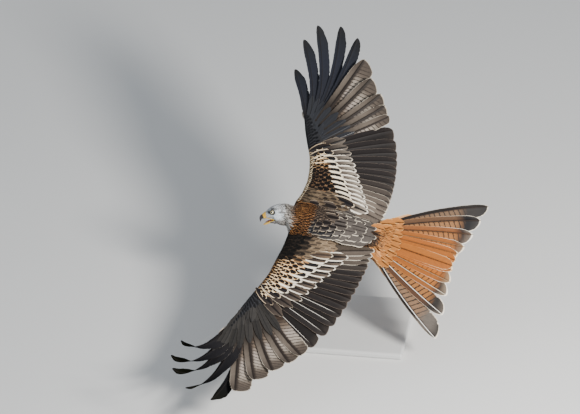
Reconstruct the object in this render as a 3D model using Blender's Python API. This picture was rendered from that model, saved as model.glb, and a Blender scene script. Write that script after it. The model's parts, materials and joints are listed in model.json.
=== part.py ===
"""Red kite in banking flight, life size, hung on a plain display stand.

The bird is modelled level, facing -X with its left wing towards -Y, and then banks as one on an empty.
Metres, +Z up. The origin is under the middle of the stand's base.
"""

import math

import bmesh
import bpy
from mathutils import Matrix, Vector

MM = 0.001
GAP = 0.3 * MM
CLEAR = 0.2 * MM

# How the bird hangs: it banks to its left with its bill a little up.
BANK = math.radians(25.0)
NOSE_UP = math.radians(8.0)
BODY_HEIGHT = 0.345

# The body's sections from the neck to the tail: back, half width, rise above and drop below the axis.
TORSO = (
    (-0.142, 0.050, 0.044, 0.043),
    (-0.120, 0.057, 0.045, 0.052),
    (-0.085, 0.060, 0.043, 0.061),
    (-0.035, 0.059, 0.039, 0.064),
    (0.010, 0.056, 0.034, 0.060),
    (0.050, 0.050, 0.029, 0.048),
    (0.085, 0.043, 0.022, 0.033),
    (0.118, 0.038, 0.016, 0.022),
)
TORSO_RINGS = 13
BODY_SIDES = 24
SQUARENESS = 2.3
FLANK = 0.050

# The head's place and turn from the body: to the left, down, and rolled back towards level.
HEAD_CENTRE = Vector((-0.200, 0.0, 0.025))
HEAD_TURN = math.radians(15.5)
HEAD_DIP = math.radians(6.8)
HEAD_ROLL = math.radians(48.5)
NECK_RINGS = 6

# Head sections in its own frame, in mm: forward, crown, underside, half width.
SKULL = (
    (-22.0, 26.0, -42.0, 27.0),
    (-12.0, 26.0, -38.5, 27.5),
    (-3.0, 24.5, -33.5, 26.5),
    (4.0, 22.5, -25.0, 24.5),
    (9.0, 20.5, -16.5, 22.5),
    (16.0, 16.8, -14.0, 18.5),
    (23.0, 11.8, -12.8, 13.6),
    (28.0, 8.0, -13.0, 10.4),
)
# The feathered lower jaw: forward, middle height, half depth, half width.
JAW = ((-8.0, -24.0, 8.0, 18.0), (4.0, -25.6, 6.6, 15.5), (11.0, -25.2, 5.0, 12.0), (18.0, -25.6, 4.0, 9.0))
# The cere, then the hooked upper mandible and the lower one: forward, height, half depth, half width, dip.
CERE = ((28.3, -2.6, 10.3, 9.8, 0), (32.5, -4.8, 9.3, 8.0, -6), (37.0, -6.6, 7.7, 6.3, -14))
HOOK = (
    (37.3, -6.7, 7.6, 6.2, -14),
    (41.6, -8.4, 6.2, 5.0, -34),
    (44.6, -12.2, 4.3, 3.6, -58),
    (46.0, -16.6, 2.6, 2.3, -78),
    (46.2, -21.8, 0.6, 0.7, -92),
)
LOWER_BILL = (
    (18.35, -25.7, 3.9, 8.6, 0),
    (26.0, -28.2, 3.4, 6.8, -16),
    (33.5, -30.4, 2.6, 4.6, -12),
    (39.4, -31.2, 0.7, 1.6, 0),
)
NOSTRIL = (32.4, 1.6, 2.2, 1.1)
EYE = (8.0, 14.6, 5.4)
EYE_RADIUS = 7.8
LID = (20.2, 6.9, 1.5)
BROW = ((15.5, 20.0, 9.2), (8.0, 22.6, 13.2), (0.5, 24.6, 13.0))

# Flight feathers: primaries from the innermost out.
PRIMARY_LENGTHS = (0.262, 0.268, 0.278, 0.298, 0.342, 0.396, 0.415, 0.390, 0.332, 0.230)
SECONDARIES = 11
TERTIALS = 3
SHINGLE = 6.0

# One wing's pose, as back, out from the midline, and up. Sweep turns a feather from out to back.
LEFT_WING = {
    "side": -1,
    "edge": (
        (-0.150, 0.0503, 0.004),
        (-0.157, 0.100, 0.004),
        (-0.170, 0.154, 0.004),
        (-0.181, 0.203, 0.003),
        (-0.202, 0.252, 0.002),
        (-0.223, 0.298, 0.001),
        (-0.243, 0.345, 0.001),
        (-0.268, 0.412, 0.002),
    ),
    "elbow": (-0.030, 0.082, 0.000),
    "wrist": (-0.200, 0.286, -0.001),
    "hand_tip": (-0.262, 0.404, 0.002),
    "sweep": (38, 31, 21, 11, 3, 13, 6, -3, -7, -18),
    "rise": (0,) * 10,
    "bend": (6, 6, 6, 6, 4, -36, -46, -50, -58, -54),
    "curl": (20, 22, 26, 28, 32, 36, 52, 66, 69, 73),
    "secondary_sweep": (33, 104, 0.4),
    "secondary_length": (0.235, 0.154, 1.3),
    "alula_sweep": -20,
}
RIGHT_WING = {
    "side": 1,
    "edge": (
        (-0.152, 0.0503, 0.012),
        (-0.136, 0.098, 0.006),
        (-0.128, 0.145, 0.003),
        (-0.130, 0.190, 0.002),
        (-0.138, 0.235, 0.001),
        (-0.154, 0.280, -0.001),
        (-0.168, 0.326, -0.006),
        (-0.182, 0.384, -0.015),
    ),
    "elbow": (-0.020, 0.091, 0.000),
    "wrist": (-0.130, 0.265, -0.002),
    "hand_tip": (-0.172, 0.374, -0.016),
    "sweep": (48, 42, 36, 25, 16, 15, 14, 12, 5, -11),
    "rise": (-6, -7, -8, -9, -11, -13, -15, -17, -20, -26),
    "bend": (5, 5, 5, 5, 5, -7, -21, -36, -34, -15),
    "curl": (18, 22, 26, 20, 20, 26, 30, 42, 42, 31),
    "secondary_sweep": (47, 104, 0.6),
    "secondary_length": (0.261, 0.145, 1.1),
    "alula_sweep": -14,
}
SCAPULAR_ROWS = (-0.070, -0.028, 0.014)
SCAPULAR_OUTS = (0.009, 0.024, 0.038)
SCAPULAR_SUNK = 0.003
ROOT_CHORD = 0.145
WRIST_CHORD = 0.062
WRIST_SHARE = 0.34
TIP_CHORD = 0.020
ARM_THICKNESS = (0.014, 0.009)
WRIST_THICKNESS = (0.008, 0.005)
TIP_THICKNESS = (0.0035, 0.0030)

# The tail: its root, turn to the left and twist, the tips of its feathers from the middle pair out, as along
# and across, how each feather bends outwards, and where the first root is and how far apart they sit.
TAIL_RISE = -0.005
TAIL_TURN = math.radians(-9.0)
TAIL_TWIST = math.radians(18.0)
LEFT_TAIL_TIPS = ((0.238, 0.002), (0.242, 0.016), (0.249, 0.051), (0.253, 0.090), (0.266, 0.142), (0.267, 0.230))
RIGHT_TAIL_TIPS = ((0.240, 0.018), (0.241, 0.040), (0.252, 0.067), (0.262, 0.112), (0.269, 0.162), (0.275, 0.211))
TAIL_BEND = (0, 2, 4, 6, 9, 14)
TAIL_ROOT = (0.012, 0.006, 0.0093)
TAIL_CORE = ((0.0, 0.037, 0.016, 0.022), (0.010, 0.050, 0.013, 0.016), (0.022, 0.064, 0.010, 0.012),
             (0.036, 0.068, 0.007, 0.008), (0.048, 0.064, 0.004, 0.005))

# Vane outlines: share of the length, then the shares of the outer and the inner half width.
FINGER = ((0, 0.30, 0.08), (0.12, 0.9, 0.6), (0.33, 1, 1), (0.5, 0.8, 0.8), (0.64, 0.7, 0.56),
          (0.86, 0.8, 0.64), (1, 0.2, 0.14))
BLADE = ((0, 0.20, 0.07), (0.15, 0.85, 0.6), (0.5, 1, 1), (0.88, 0.95, 0.9), (1, 0.3, 0.3))
BROAD = ((0, 0.15, 0.09), (0.18, 0.9, 0.85), (0.6, 1, 1), (0.91, 0.85, 0.9), (1, 0.3, 0.35))
COVERT = ((0, 0.25, 0.25), (0.35, 0.95, 0.95), (0.8, 0.95, 0.95), (1, 0.3, 0.3))
QUILL_THICK = (1.8 * MM, 1.0 * MM)
EDGE_THICK = 0.6 * MM
COVERT_THICK = 0.8 * MM

# The stand: a bevelled base and one rod up into the belly.
BASE_SIZE = (0.42, 0.32, 0.020)
BASE_BEVEL = 0.006
ROD_RADIUS = 0.007
ROD_PLACE = (-0.062, 0.0)
ROD_TOP = 0.040
COLLAR_RADIUS = 0.018
COLLAR_HEIGHT = 0.012

COLOURS = {
    "head_grey": "b9b1a3",
    "rufous": "8f4f2b",
    "dark_brown": "3b2a22",
    "tail_orange": "b5652f",
    "quill_black": "1d1b1f",
    "cere_yellow": "d8a83a",
    "horn": "2a2728",
    "iris": "d9c98a",
    "stand_grey": "8d9092",
}


def material(name, roughness=0.6, metallic=0.0):
    """The Principled material of one colour from the list above."""
    made = bpy.data.materials.get(name) or bpy.data.materials.new(name)
    made.use_nodes = True
    code = COLOURS[name]
    colour = [(int(code[i:i + 2], 16) / 255) ** 2.2 for i in (0, 2, 4)]
    shader = made.node_tree.nodes["Principled BSDF"]
    shader.inputs["Base Color"].default_value = (*colour, 1)
    shader.inputs["Roughness"].default_value = roughness
    shader.inputs["Metallic"].default_value = metallic
    return made


def solid(name, points, faces, colour, **finish):
    """A closed mesh object with its faces turned outwards, in triangles."""
    shape = bmesh.new()
    corners = [shape.verts.new(p) for p in points]
    for face in faces:
        shape.faces.new([corners[i] for i in face])
    bmesh.ops.recalc_face_normals(shape, faces=shape.faces)
    bmesh.ops.triangulate(shape, faces=shape.faces)
    mesh = bpy.data.meshes.new(name)
    shape.to_mesh(mesh)
    shape.free()
    mesh.materials.append(material(colour, **finish))
    made = bpy.data.objects.new(name, mesh)
    bpy.context.scene.collection.objects.link(made)
    return made


def volume(faces):
    """Six times the volume that some triangles enclose."""
    total = 0.0
    for face in faces:
        a, b, c = (v.co for v in face.verts)
        total += a.dot(b.cross(c))
    return total


def keep_largest(mesh):
    """Leaves a mesh only its largest closed surface, in triangles."""
    shape = bmesh.new()
    shape.from_mesh(mesh)
    bmesh.ops.triangulate(shape, faces=shape.faces)
    shape.faces.ensure_lookup_table()
    left = set(shape.faces)
    bodies = []
    while left:
        body = {left.pop()}
        front = list(body)
        while front:
            for edge in front.pop().edges:
                for face in edge.link_faces:
                    if face in left:
                        left.remove(face)
                        body.add(face)
                        front.append(face)
        bodies.append(body)
    bodies.sort(key=volume)
    for body in bodies[:-1]:
        bmesh.ops.delete(shape, geom=list(body), context="FACES")
    loose = [v for v in shape.verts if not v.link_faces]
    bmesh.ops.delete(shape, geom=loose, context="VERTS")
    shape.to_mesh(mesh)
    shape.free()


def combine(base, others, operation, solver="EXACT"):
    """Applies one Boolean of a collection of closed meshes to the base and removes them."""
    group = bpy.data.collections.new("group")
    bpy.context.scene.collection.children.link(group)
    for other in others:
        bpy.context.scene.collection.objects.unlink(other)
        group.objects.link(other)
    boolean = base.modifiers.new("combine", "BOOLEAN")
    boolean.operation = operation
    boolean.solver = solver
    boolean.operand_type = "COLLECTION"
    boolean.collection = group
    bpy.context.view_layer.update()
    graph = bpy.context.evaluated_depsgraph_get()
    mesh = bpy.data.meshes.new_from_object(base.evaluated_get(graph))
    base.modifiers.remove(boolean)
    base.data = mesh
    keep_largest(mesh)
    for other in others:
        bpy.data.objects.remove(other)
    bpy.data.collections.remove(group)
    return base


def fuse(name, pieces, solver="EXACT"):
    """One node from overlapping closed pieces."""
    base, *others = pieces
    base.name = name
    if others:
        combine(base, others, "UNION", solver)
    return base


def smooth(table, share):
    """The row at a share of a table's rows, on a curve through them."""
    at = share * (len(table) - 1)
    i = min(int(at), len(table) - 2)
    t = at - i
    rows = [table[max(i - 1, 0)], table[i], table[i + 1], table[min(i + 2, len(table) - 1)]]
    row = []
    for p0, p1, p2, p3 in zip(*rows):
        bend = 2 * p0 - 5 * p1 + 4 * p2 - p3
        twist = 3 * p1 - p0 - 3 * p2 + p3
        row.append(0.5 * (2 * p1 + (p2 - p0) * t + bend * t * t + twist * t**3))
    return row


def oval(frame, half_width, above, below, sides=BODY_SIDES, squareness=SQUARENESS):
    """A ring round a frame's middle, in its plane of left and up."""
    points = []
    for i in range(sides):
        angle = 2 * math.pi * i / sides
        c, s = math.cos(angle), math.sin(angle)
        left = half_width * math.copysign(abs(c) ** (2 / squareness), c)
        up = (above if s > 0 else below) * math.copysign(abs(s) ** (2 / squareness), s)
        points.append(frame @ Vector((0, left, up)))
    return points


def loft(name, rings, colour, **finish):
    """A closed solid through rings of as many points each."""
    sides = len(rings[0])
    points = [p for ring in rings for p in ring]
    faces = [tuple(range(sides)), tuple(range(len(points) - sides, len(points)))]
    for k in range(len(rings) - 1):
        for i in range(sides):
            j = (i + 1) % sides
            faces.append((k * sides + i, k * sides + j, (k + 1) * sides + j, (k + 1) * sides + i))
    return solid(name, points, faces, colour, **finish)


def frame_at(place, forward, up):
    """A frame with X forward and Z near up, so that Y is its left."""
    forward = forward.normalized()
    left = up.cross(forward).normalized()
    axes = Matrix((forward, left, forward.cross(left))).transposed().to_4x4()
    return Matrix.Translation(place) @ axes


BODY_UP = Vector((0, 0, 1))
BODY_FORWARD = Vector((-1, 0, 0))


def body_frame(back, rise=0.0):
    return frame_at(Vector((back, 0, rise)), BODY_FORWARD, BODY_UP)


def head_frame():
    """The head's own frame: forward, left and up from a point behind the eyes."""
    turned = Matrix.Rotation(HEAD_TURN, 3, BODY_UP) @ BODY_FORWARD
    left = BODY_UP.cross(turned)
    forward = Matrix.Rotation(HEAD_DIP, 3, left) @ turned
    up = Matrix.Rotation(HEAD_ROLL, 3, forward) @ forward.cross(left)
    return frame_at(HEAD_CENTRE, forward, up)


HEAD = head_frame()


def in_head(forward, left, up, dip=0.0):
    """A frame in the head, placed in mm and dipped about its left."""
    return HEAD @ Matrix.Translation(Vector((forward, left, up)) * MM) @ Matrix.Rotation(-math.radians(dip), 4, "Y")


def torso_ring(share, grow=0.0):
    back, half_width, above, below = smooth(TORSO, share)
    ring = oval(body_frame(back), half_width + grow, above + grow, below + grow)
    for point in ring:
        point.y = max(-FLANK - grow, min(FLANK + grow, point.y))
    return ring


def torso_solid(name, grow=0.0):
    rings = [torso_ring(i / (TORSO_RINGS - 1), grow) for i in range(TORSO_RINGS)]
    return loft(name, rings, "rufous")


def make_neck():
    """From the torso's front face to the head's back face, turning with the head."""
    back, half_width, above, below = TORSO[0]
    start = body_frame(back - GAP)
    forward, crown, underside, wide = SKULL[0]
    end = HEAD @ Matrix.Translation((forward * MM - GAP, 0, 0))
    reach = (end.translation - start.translation).length
    tangents = (BODY_FORWARD * reach, HEAD.col[0].to_3d() * reach)
    rings = []
    for i in range(NECK_RINGS):
        t = i / (NECK_RINGS - 1)
        place = (
            start.translation * (2 * t**3 - 3 * t**2 + 1)
            + tangents[0] * (t**3 - 2 * t**2 + t)
            + end.translation * (3 * t**2 - 2 * t**3)
            + tangents[1] * (t**3 - t**2)
        )
        turn = start.to_quaternion().slerp(end.to_quaternion(), t)
        frame = Matrix.Translation(place) @ turn.to_matrix().to_4x4()
        sizes = [a + (b * MM - a) * t for a, b in zip((half_width, above, below), (wide, crown, -underside))]
        rings.append(oval(frame, *sizes))
    return loft("neck", rings, "rufous")


def head_loft(name, rows, colour, sides, **finish):
    """A solid of the head from rows of forward, height, half depth, half width and dip in mm."""
    rings = []
    for forward, height, depth, wide, dip in rows:
        frame = in_head(forward, 0, height, dip)
        rings.append(oval(frame, wide * MM, depth * MM, depth * MM, sides, 2.1))
    return loft(name, rings, colour, **finish)


def ball(name, frame, radii, colour, **finish):
    """An ellipsoid of the three radii in a frame."""
    shape = bmesh.new()
    bmesh.ops.create_icosphere(shape, subdivisions=2, radius=1.0)
    shape.verts.ensure_lookup_table()
    points = [frame @ Vector([c * r for c, r in zip(v.co, radii)]) for v in shape.verts]
    faces = [tuple(v.index for v in f.verts) for f in shape.faces]
    shape.free()
    return solid(name, points, faces, colour, **finish)


def torus(name, frame, radius, thick, colour, count=20, sides=6):
    """A ring about a frame's Y axis."""
    points = []
    for i in range(count):
        angle = 2 * math.pi * i / count
        out = Vector((math.cos(angle), 0, math.sin(angle)))
        for j in range(sides):
            turn = 2 * math.pi * j / sides
            points.append(frame @ (out * (radius + thick * math.cos(turn)) + Vector((0, thick * math.sin(turn), 0))))
    faces = []
    for i in range(count):
        for j in range(sides):
            k, n = (i + 1) % count, (j + 1) % sides
            faces.append((i * sides + j, i * sides + n, k * sides + n, k * sides + j))
    return solid(name, points, faces, colour)


def tube(name, centres, radii, colour, sides=8, **finish):
    """A round bar along a bending line."""
    rings = []
    for i, centre in enumerate(centres):
        ahead = centres[min(i + 1, len(centres) - 1)] - centres[max(i - 1, 0)]
        level = Vector((0, 0, 1)) if abs(ahead.normalized().z) < 0.9 else Vector((1, 0, 0))
        rings.append(oval(frame_at(centre, ahead, level), radii[i], radii[i], radii[i], sides, 2.0))
    return loft(name, rings, colour, **finish)


def make_head():
    """Skull and jaw with the mouth open between them, lid rings, brows and eye sockets."""
    rings = []
    for i in range(2 * len(SKULL) - 1):
        forward, crown, underside, wide = smooth(SKULL, i / (2 * len(SKULL) - 2))
        middle = 0.5 * (crown + underside) if i else 0.0
        rings.append(oval(in_head(forward, 0, middle), wide * MM, (crown - middle) * MM, (middle - underside) * MM))
    skull = loft("skull", rings, "head_grey")
    pieces = [skull, head_loft("jaw", [(*row, 0) for row in JAW], "head_grey", 16)]
    sockets = []
    for side in (1, -1):
        forward, left, up = EYE
        at, radius, thick = LID
        frame = in_head(forward, side * at, up)
        pieces.append(torus("lid", frame, radius * MM, thick * MM, "head_grey"))
        brow = [in_head(x, side * y, z).translation for x, y, z in BROW]
        pieces.append(tube("brow", brow, [1.0 * MM, 2.4 * MM, 1.2 * MM], "head_grey", 6))
        hole = EYE_RADIUS * MM + GAP
        sockets.append(ball("socket", in_head(forward, side * left, up), (hole,) * 3, "head_grey"))
    head = fuse("head", pieces)
    return combine(head, sockets, "DIFFERENCE")


def make_bill():
    """The cere with its nostrils, the hooked upper mandible, the lower mandible and the eyes."""
    cere = head_loft("cere", CERE, "cere_yellow", 18, roughness=0.4)
    forward, height, long, tall = NOSTRIL
    holes = []
    for side in (1, -1):
        frame = in_head(forward, side * 7.6, height - 4.6, -18)
        holes.append(ball("nostril", frame, (long * MM, 1.6 * MM, tall * MM), "horn"))
    combine(cere, holes, "DIFFERENCE")
    head_loft("bill_upper", HOOK, "horn", 16, roughness=0.3)
    head_loft("bill_lower", LOWER_BILL, "horn", 16, roughness=0.3)
    forward, left, up = EYE
    for name, side in (("eye_left", 1), ("eye_right", -1)):
        ball(name, in_head(forward, side * left, up), (EYE_RADIUS * MM,) * 3, "iris", roughness=0.1)


def feather_line(feather, shares):
    """Places, reach towards the inner vane, and normals along a feather's shaft, as back, out and up."""
    steps = 32
    length = feather["length"]
    point = Vector(feather["root"])
    marks = []

    def heading(share):
        turn = math.radians(feather["sweep"] + feather["bend"] * share)
        lift = math.radians(feather["rise"] + feather["curl"] * share**2)
        return turn, lift

    trail = [point.copy()]
    for i in range(steps):
        turn, lift = heading((i + 0.5) / steps)
        step = Vector((math.sin(turn) * math.cos(lift), math.cos(turn) * math.cos(lift), math.sin(lift)))
        point = point + step * (length / steps)
        trail.append(point)
    for share in shares:
        at = min(int(share * steps), steps - 1)
        place = trail[at].lerp(trail[at + 1], share * steps - at)
        turn, lift = heading(share)
        inner = Vector((math.cos(turn), -math.sin(turn), 0))
        normal = Vector((-math.sin(turn) * math.sin(lift), -math.cos(turn) * math.sin(lift), math.cos(lift)))
        tilt = math.radians(feather.get("tilt", SHINGLE))
        marks.append((place, inner * math.cos(tilt) - normal * math.sin(tilt),
                      normal * math.cos(tilt) + inner * math.sin(tilt)))
    return marks


def kept(place, reach, width, walls):
    """A half width, cut short where the vane would come to a wall between two nodes."""
    for point, facing in walls:
        closing = -reach.dot(facing)
        if closing > 0:
            width = min(width, ((place - point).dot(facing) - CLEAR) / closing)
    return max(width, EDGE_THICK)


def vane(feather, outline, widths, placing, walls, colour, quill=True):
    """One feather as a closed vane, its top and underside split alike, raised along the shaft if it has a quill."""
    marks = feather_line(feather, [row[0] for row in outline])
    rings = []
    for (share, outer_share, inner_share), (place, reach, normal) in zip(outline, marks):
        outer = kept(place, -reach, widths[0] * outer_share, walls)
        inner = kept(place, reach, widths[1] * inner_share, walls)
        edge = 0.5 * (EDGE_THICK if quill else COVERT_THICK)
        top = [place - reach * outer + normal * edge, place + reach * inner + normal * edge]
        under = [place + reach * inner - normal * edge, place - reach * outer - normal * edge]
        if quill:
            shaft = 0.5 * (QUILL_THICK[0] + (QUILL_THICK[1] - QUILL_THICK[0]) * share)
            top.insert(1, place + normal * shaft)
            under.insert(1, place - normal * shaft)
        rings.append(top + under)
    count = len(rings[0])
    half = count // 2
    points = [placing @ p for ring in rings for p in ring]
    last = len(points) - count
    faces = []
    for i in range(half - 1):
        for start in (0, last):
            a, b = start + i, start + i + 1
            c, d = start + count - 2 - i, start + count - 1 - i
            faces += [(a, b, c), (a, c, d)]
    for k in range(len(rings) - 1):
        here, there = k * count, (k + 1) * count
        for i in range(half - 1):
            a, b = i, i + 1
            c, d = count - 1 - i, count - 2 - i
            faces += [(here + a, here + b, there + a), (here + b, there + b, there + a)]
            faces += [(here + c, here + d, there + c), (here + d, there + d, there + c)]
        for a, b in ((half - 1, half), (count - 1, 0)):
            faces += [(here + a, here + b, there + a), (here + b, there + b, there + a)]
    return solid("vane", points, faces, colour)


def mix(a, b, t):
    return a + (b - a) * t


def along(points, t):
    """The point at share t of a row of evenly shared points."""
    at = t * (len(points) - 1)
    i = min(int(at), len(points) - 2)
    return Vector(points[i]).lerp(Vector(points[i + 1]), at - i)


def primaries(wing):
    wrist, hand_tip = Vector(wing["wrist"]), Vector(wing["hand_tip"])
    return [
        {
            "root": wrist.lerp(hand_tip, i / (len(PRIMARY_LENGTHS) - 1)),
            "sweep": wing["sweep"][i],
            "rise": wing["rise"][i],
            "bend": wing["bend"][i],
            "curl": wing["curl"][i],
            "length": length,
        }
        for i, length in enumerate(PRIMARY_LENGTHS)
    ]


def secondary(wing, t):
    """The secondary or tertial at share t of the way from the wrist to the elbow."""
    return {
        "root": Vector(wing["wrist"]).lerp(Vector(wing["elbow"]), t),
        "sweep": mix(*wing["secondary_sweep"][:2], t ** wing["secondary_sweep"][2]),
        "rise": mix(-2.0, 1.0, t),
        "bend": 3.0,
        "curl": -8.0,
        "length": mix(*wing["secondary_length"][:2], t ** wing["secondary_length"][2]),
    }


def over(feather, forward, up, length, drop=0.0):
    """A covert that follows the feather it covers, from a root further forward and higher."""
    share = length / feather["length"]
    turn = math.radians(feather["sweep"])
    ahead = Vector((-math.sin(turn), -math.cos(turn), 0)) * forward
    return {
        "root": Vector(feather["root"]) + ahead + Vector((0, 0, up)),
        "sweep": feather["sweep"],
        "rise": feather["rise"] + drop,
        "bend": feather["bend"] * share,
        "curl": feather["curl"] * share * share,
        "length": length,
    }


def wrist_wall(wing):
    """The upright plane between the hand and the arm: a point on it, and its way back along the feathers."""
    inner, outer = secondary(wing, 0.6 / (SECONDARIES + TERTIALS)), primaries(wing)[0]
    roots = (inner["root"] + outer["root"]) / 2
    tips = feather_line(inner, [1])[0][0].lerp(feather_line(outer, [1])[0][0], WRIST_SHARE)
    way = tips - roots
    way.z = 0
    return roots, way.normalized()


def edge_split(wing, point, way):
    """The share of the leading edge where the wrist's plane crosses it."""
    facing = Vector((-way.y, way.x, 0))
    best = min((abs((along(wing["edge"], i / 400) - point).dot(facing)), i / 400) for i in range(100, 400))
    return best[1]


def wing_core(name, wing, rows, placing, colour):
    """The wing's flesh: a rounded front and thin back along each row's chord."""
    profile = ((1.0, 0.10), (0.82, 0.42), (0.60, 0.78), (0.38, 1.0), (0.18, 0.92), (0.05, 0.60), (0.0, 0.12))
    rings = []
    for front, way, chord, thickness in rows:
        top = [front + way * (chord * u) + BODY_UP * (thickness[0] * z) for u, z in profile]
        under = [front + way * (chord * u) - BODY_UP * (thickness[1] * z) for u, z in reversed(profile)]
        rings.append([placing @ p for p in top + under])
    return loft(name, rings, colour)


def core_rows(wing, shares, split, way, tip_way):
    """Front point, chord way, chord length and thickness at shares of the leading edge."""
    rows = []
    for share in shares:
        front = along(wing["edge"], share)
        if share <= split:
            t = share / split
            direction = Vector((1, 0, 0)).lerp(way, t).normalized()
            chord = mix(ROOT_CHORD, WRIST_CHORD, t)
            thick = [mix(a, b, t) for a, b in zip(ARM_THICKNESS, WRIST_THICKNESS)]
        else:
            t = (share - split) / (1 - split)
            direction = way.lerp(tip_way, t).normalized()
            chord = mix(WRIST_CHORD, TIP_CHORD, t)
            thick = [mix(a, b, t) for a, b in zip(WRIST_THICKNESS, TIP_THICKNESS)]
        rows.append((front, direction, chord, thick))
    return rows


def make_wing(name, wing):
    """An arm node and a hand node, each a core with its tiers of feathers."""
    placing = Matrix.Diagonal((1, wing["side"], 1, 1))
    point, way = wrist_wall(wing)
    outward = Vector((-way.y, way.x, 0))
    split = edge_split(wing, point, way)
    root_wall = (Vector((0, FLANK + GAP, 0)), Vector((0, 1, 0)))
    arm_walls = [(point - outward * GAP / 2, -outward), root_wall]
    hand_walls = [(point + outward * GAP / 2, outward)]
    hand_way = Vector(wing["hand_tip"]) - Vector(wing["wrist"])
    tip_way = Vector((hand_way.y, -hand_way.x, 0)).normalized()

    shares = [split * i / 6 for i in range(7)]
    rows = core_rows(wing, shares, split, way, tip_way)
    front, direction, chord, thick = rows[-1]
    front = front - outward * ((front - point).dot(outward) + GAP / 2)
    rows[-1] = (front, direction, chord, thick)
    pieces = [wing_core("core", wing, rows, placing, "dark_brown")]
    count = SECONDARIES + TERTIALS
    for i in range(count):
        feather = secondary(wing, (i + 0.6) / count)
        pieces.append(vane(feather, BROAD, (0.015, 0.030), placing, arm_walls, "dark_brown"))
    for i in range(13):
        feather = over(secondary(wing, (i + 0.5) / 13), 0.004, 0.0040, 0.104)
        pieces.append(vane(feather, COVERT, (0.012, 0.012), placing, arm_walls, "dark_brown", False))
    for i in range(10):
        feather = over(secondary(wing, (i + 0.5) / 10), 0.018, 0.0085, 0.082, -2)
        pieces.append(vane(feather, COVERT, (0.013, 0.013), placing, arm_walls, "rufous", False))
    arm = fuse(f"wing_{name}_arm", pieces)

    shares = [mix(split, 1, i / 4) for i in range(5)]
    rows = core_rows(wing, shares, split, way, tip_way)
    front, direction, chord, thick = rows[0]
    front = front - outward * ((front - point).dot(outward) - GAP / 2)
    rows[0] = (front, way, chord, thick)
    pieces = [wing_core("core", wing, rows, placing, "quill_black")]
    for i, feather in enumerate(primaries(wing)):
        outline = FINGER if i >= 5 else BLADE
        widths = (0.009, 0.034) if i >= 5 else (0.013, 0.036)
        pieces.append(vane(feather, outline, widths, placing, hand_walls, "quill_black"))
    for i, feather in enumerate(primaries(wing)[:9]):
        t = i / 8
        covert = over(feather, 0.004, mix(0.0038, 0.0022, t), mix(0.108, 0.080, t))
        pieces.append(vane(covert, COVERT, (0.008, 0.010), placing, hand_walls, "quill_black", False))
    for i in range(3):
        front = along(wing["edge"], mix(split, 1, 0.14 + 0.10 * i))
        feather = {"root": front + Vector((0.008, 0, 0.0035 - 0.0006 * i)), "sweep": wing["alula_sweep"] + 9 * (2 - i),
                   "rise": wing["rise"][5] * 0.5, "bend": 4.0, "curl": 4.0, "length": 0.098 - 0.018 * i}
        pieces.append(vane(feather, COVERT, (0.005, 0.010), placing, hand_walls, "quill_black", False))
    hand = fuse(f"wing_{name}_hand", pieces)
    return [arm, hand]


def between(start, end, t):
    """The frame at share t of the way from one frame to another."""
    turn = start.to_quaternion().slerp(end.to_quaternion(), t)
    return Matrix.Translation(start.translation.lerp(end.translation, t)) @ turn.to_matrix().to_4x4()


def make_tail():
    """A core behind the rump that carries twelve rectrices and the tail coverts."""
    back = TORSO[-1][0]
    tail = Matrix.Translation((back, 0, TAIL_RISE)) @ Matrix.Rotation(TAIL_TWIST, 4, "X") \
        @ Matrix.Rotation(TAIL_TURN, 4, "Z")
    rings = []
    for i, (distance, wide, above, below) in enumerate(TAIL_CORE):
        end = frame_at(tail @ Vector((distance, 0, 0)), -tail.col[0].to_3d(), tail.col[2].to_3d())
        rings.append(oval(between(body_frame(back + GAP), end, min(1, i / 2)), wide, above, below, 20))
    pieces = [loft("core", rings, "tail_orange")]
    start, middle, pitch = TAIL_ROOT
    for side, tips in ((-1, LEFT_TAIL_TIPS), (1, RIGHT_TAIL_TIPS)):
        placing = tail @ Matrix.Diagonal((1, side, 1, 1))
        for i, (tip, bend) in enumerate(zip(tips, TAIL_BEND)):
            root = Vector((start, middle + pitch * i, -0.0009 * i))
            if i == 0 and side < 0:
                root.z = 0.0016
            way = Vector((*tip, root.z)) - root
            spread = math.degrees(math.atan2(way.y, way.x))
            feather = {"root": root, "sweep": 90 - spread - bend / 2, "rise": 0.0, "bend": bend, "curl": -4.0,
                       "length": way.length, "tilt": 0.0 if i == 0 else SHINGLE - 1}
            widths = (0.016, 0.016) if i == 0 else (0.012 + 0.0004 * i, 0.024)
            pieces.append(vane(feather, BROAD, widths, placing, [], "tail_orange"))
        for i in range(5):
            root = Vector((0.007 - 0.002 * side, 0.006 + 0.0095 * i, 0.0062 - 0.0005 * side - 0.0012 * i))
            feather = {"root": root, "sweep": 88 - 9 * i, "rise": -1.0, "bend": 2.0 * i, "curl": 0.0,
                       "length": 0.092 - 0.003 * i}
            pieces.append(vane(feather, COVERT, (0.010, 0.010), placing, [], "tail_orange", False))
    return fuse("tail", pieces)


def torso_top(back, out):
    """The height of the trunk's back at a place, and how steeply it falls outwards, in degrees."""
    share = next(i for i in range(1, 401) if smooth(TORSO, i / 400)[0] >= back) / 400
    _, half_width, above, _ = smooth(TORSO, share)

    def height(y):
        return above * (1 - (y / half_width) ** SQUARENESS) ** (1 / SQUARENESS)

    return height(out), math.degrees(math.atan2(height(out) - height(out + MM), MM))


def make_torso():
    """The trunk with its scapular feathers, which lie back over the loins between the wings."""
    pieces = [torso_solid("trunk")]
    walls = [(Vector((0, FLANK - GAP, 0)), Vector((0, -1, 0)))]
    for side in (-1, 1):
        placing = Matrix.Diagonal((1, side, 1, 1))
        for back in SCAPULAR_ROWS:
            for out in SCAPULAR_OUTS:
                high, fall = torso_top(back, out)
                root = (back - 0.3 * out - 0.003 * side, out + 0.0007 * side, high - SCAPULAR_SUNK)
                feather = {"root": root, "sweep": 89, "rise": -3.0,
                           "bend": 2.0, "curl": 1.0, "length": 0.084, "tilt": -fall}
                pieces.append(vane(feather, COVERT, (0.010, 0.010), placing, walls, "dark_brown", False))
    return fuse("torso", pieces)


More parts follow.
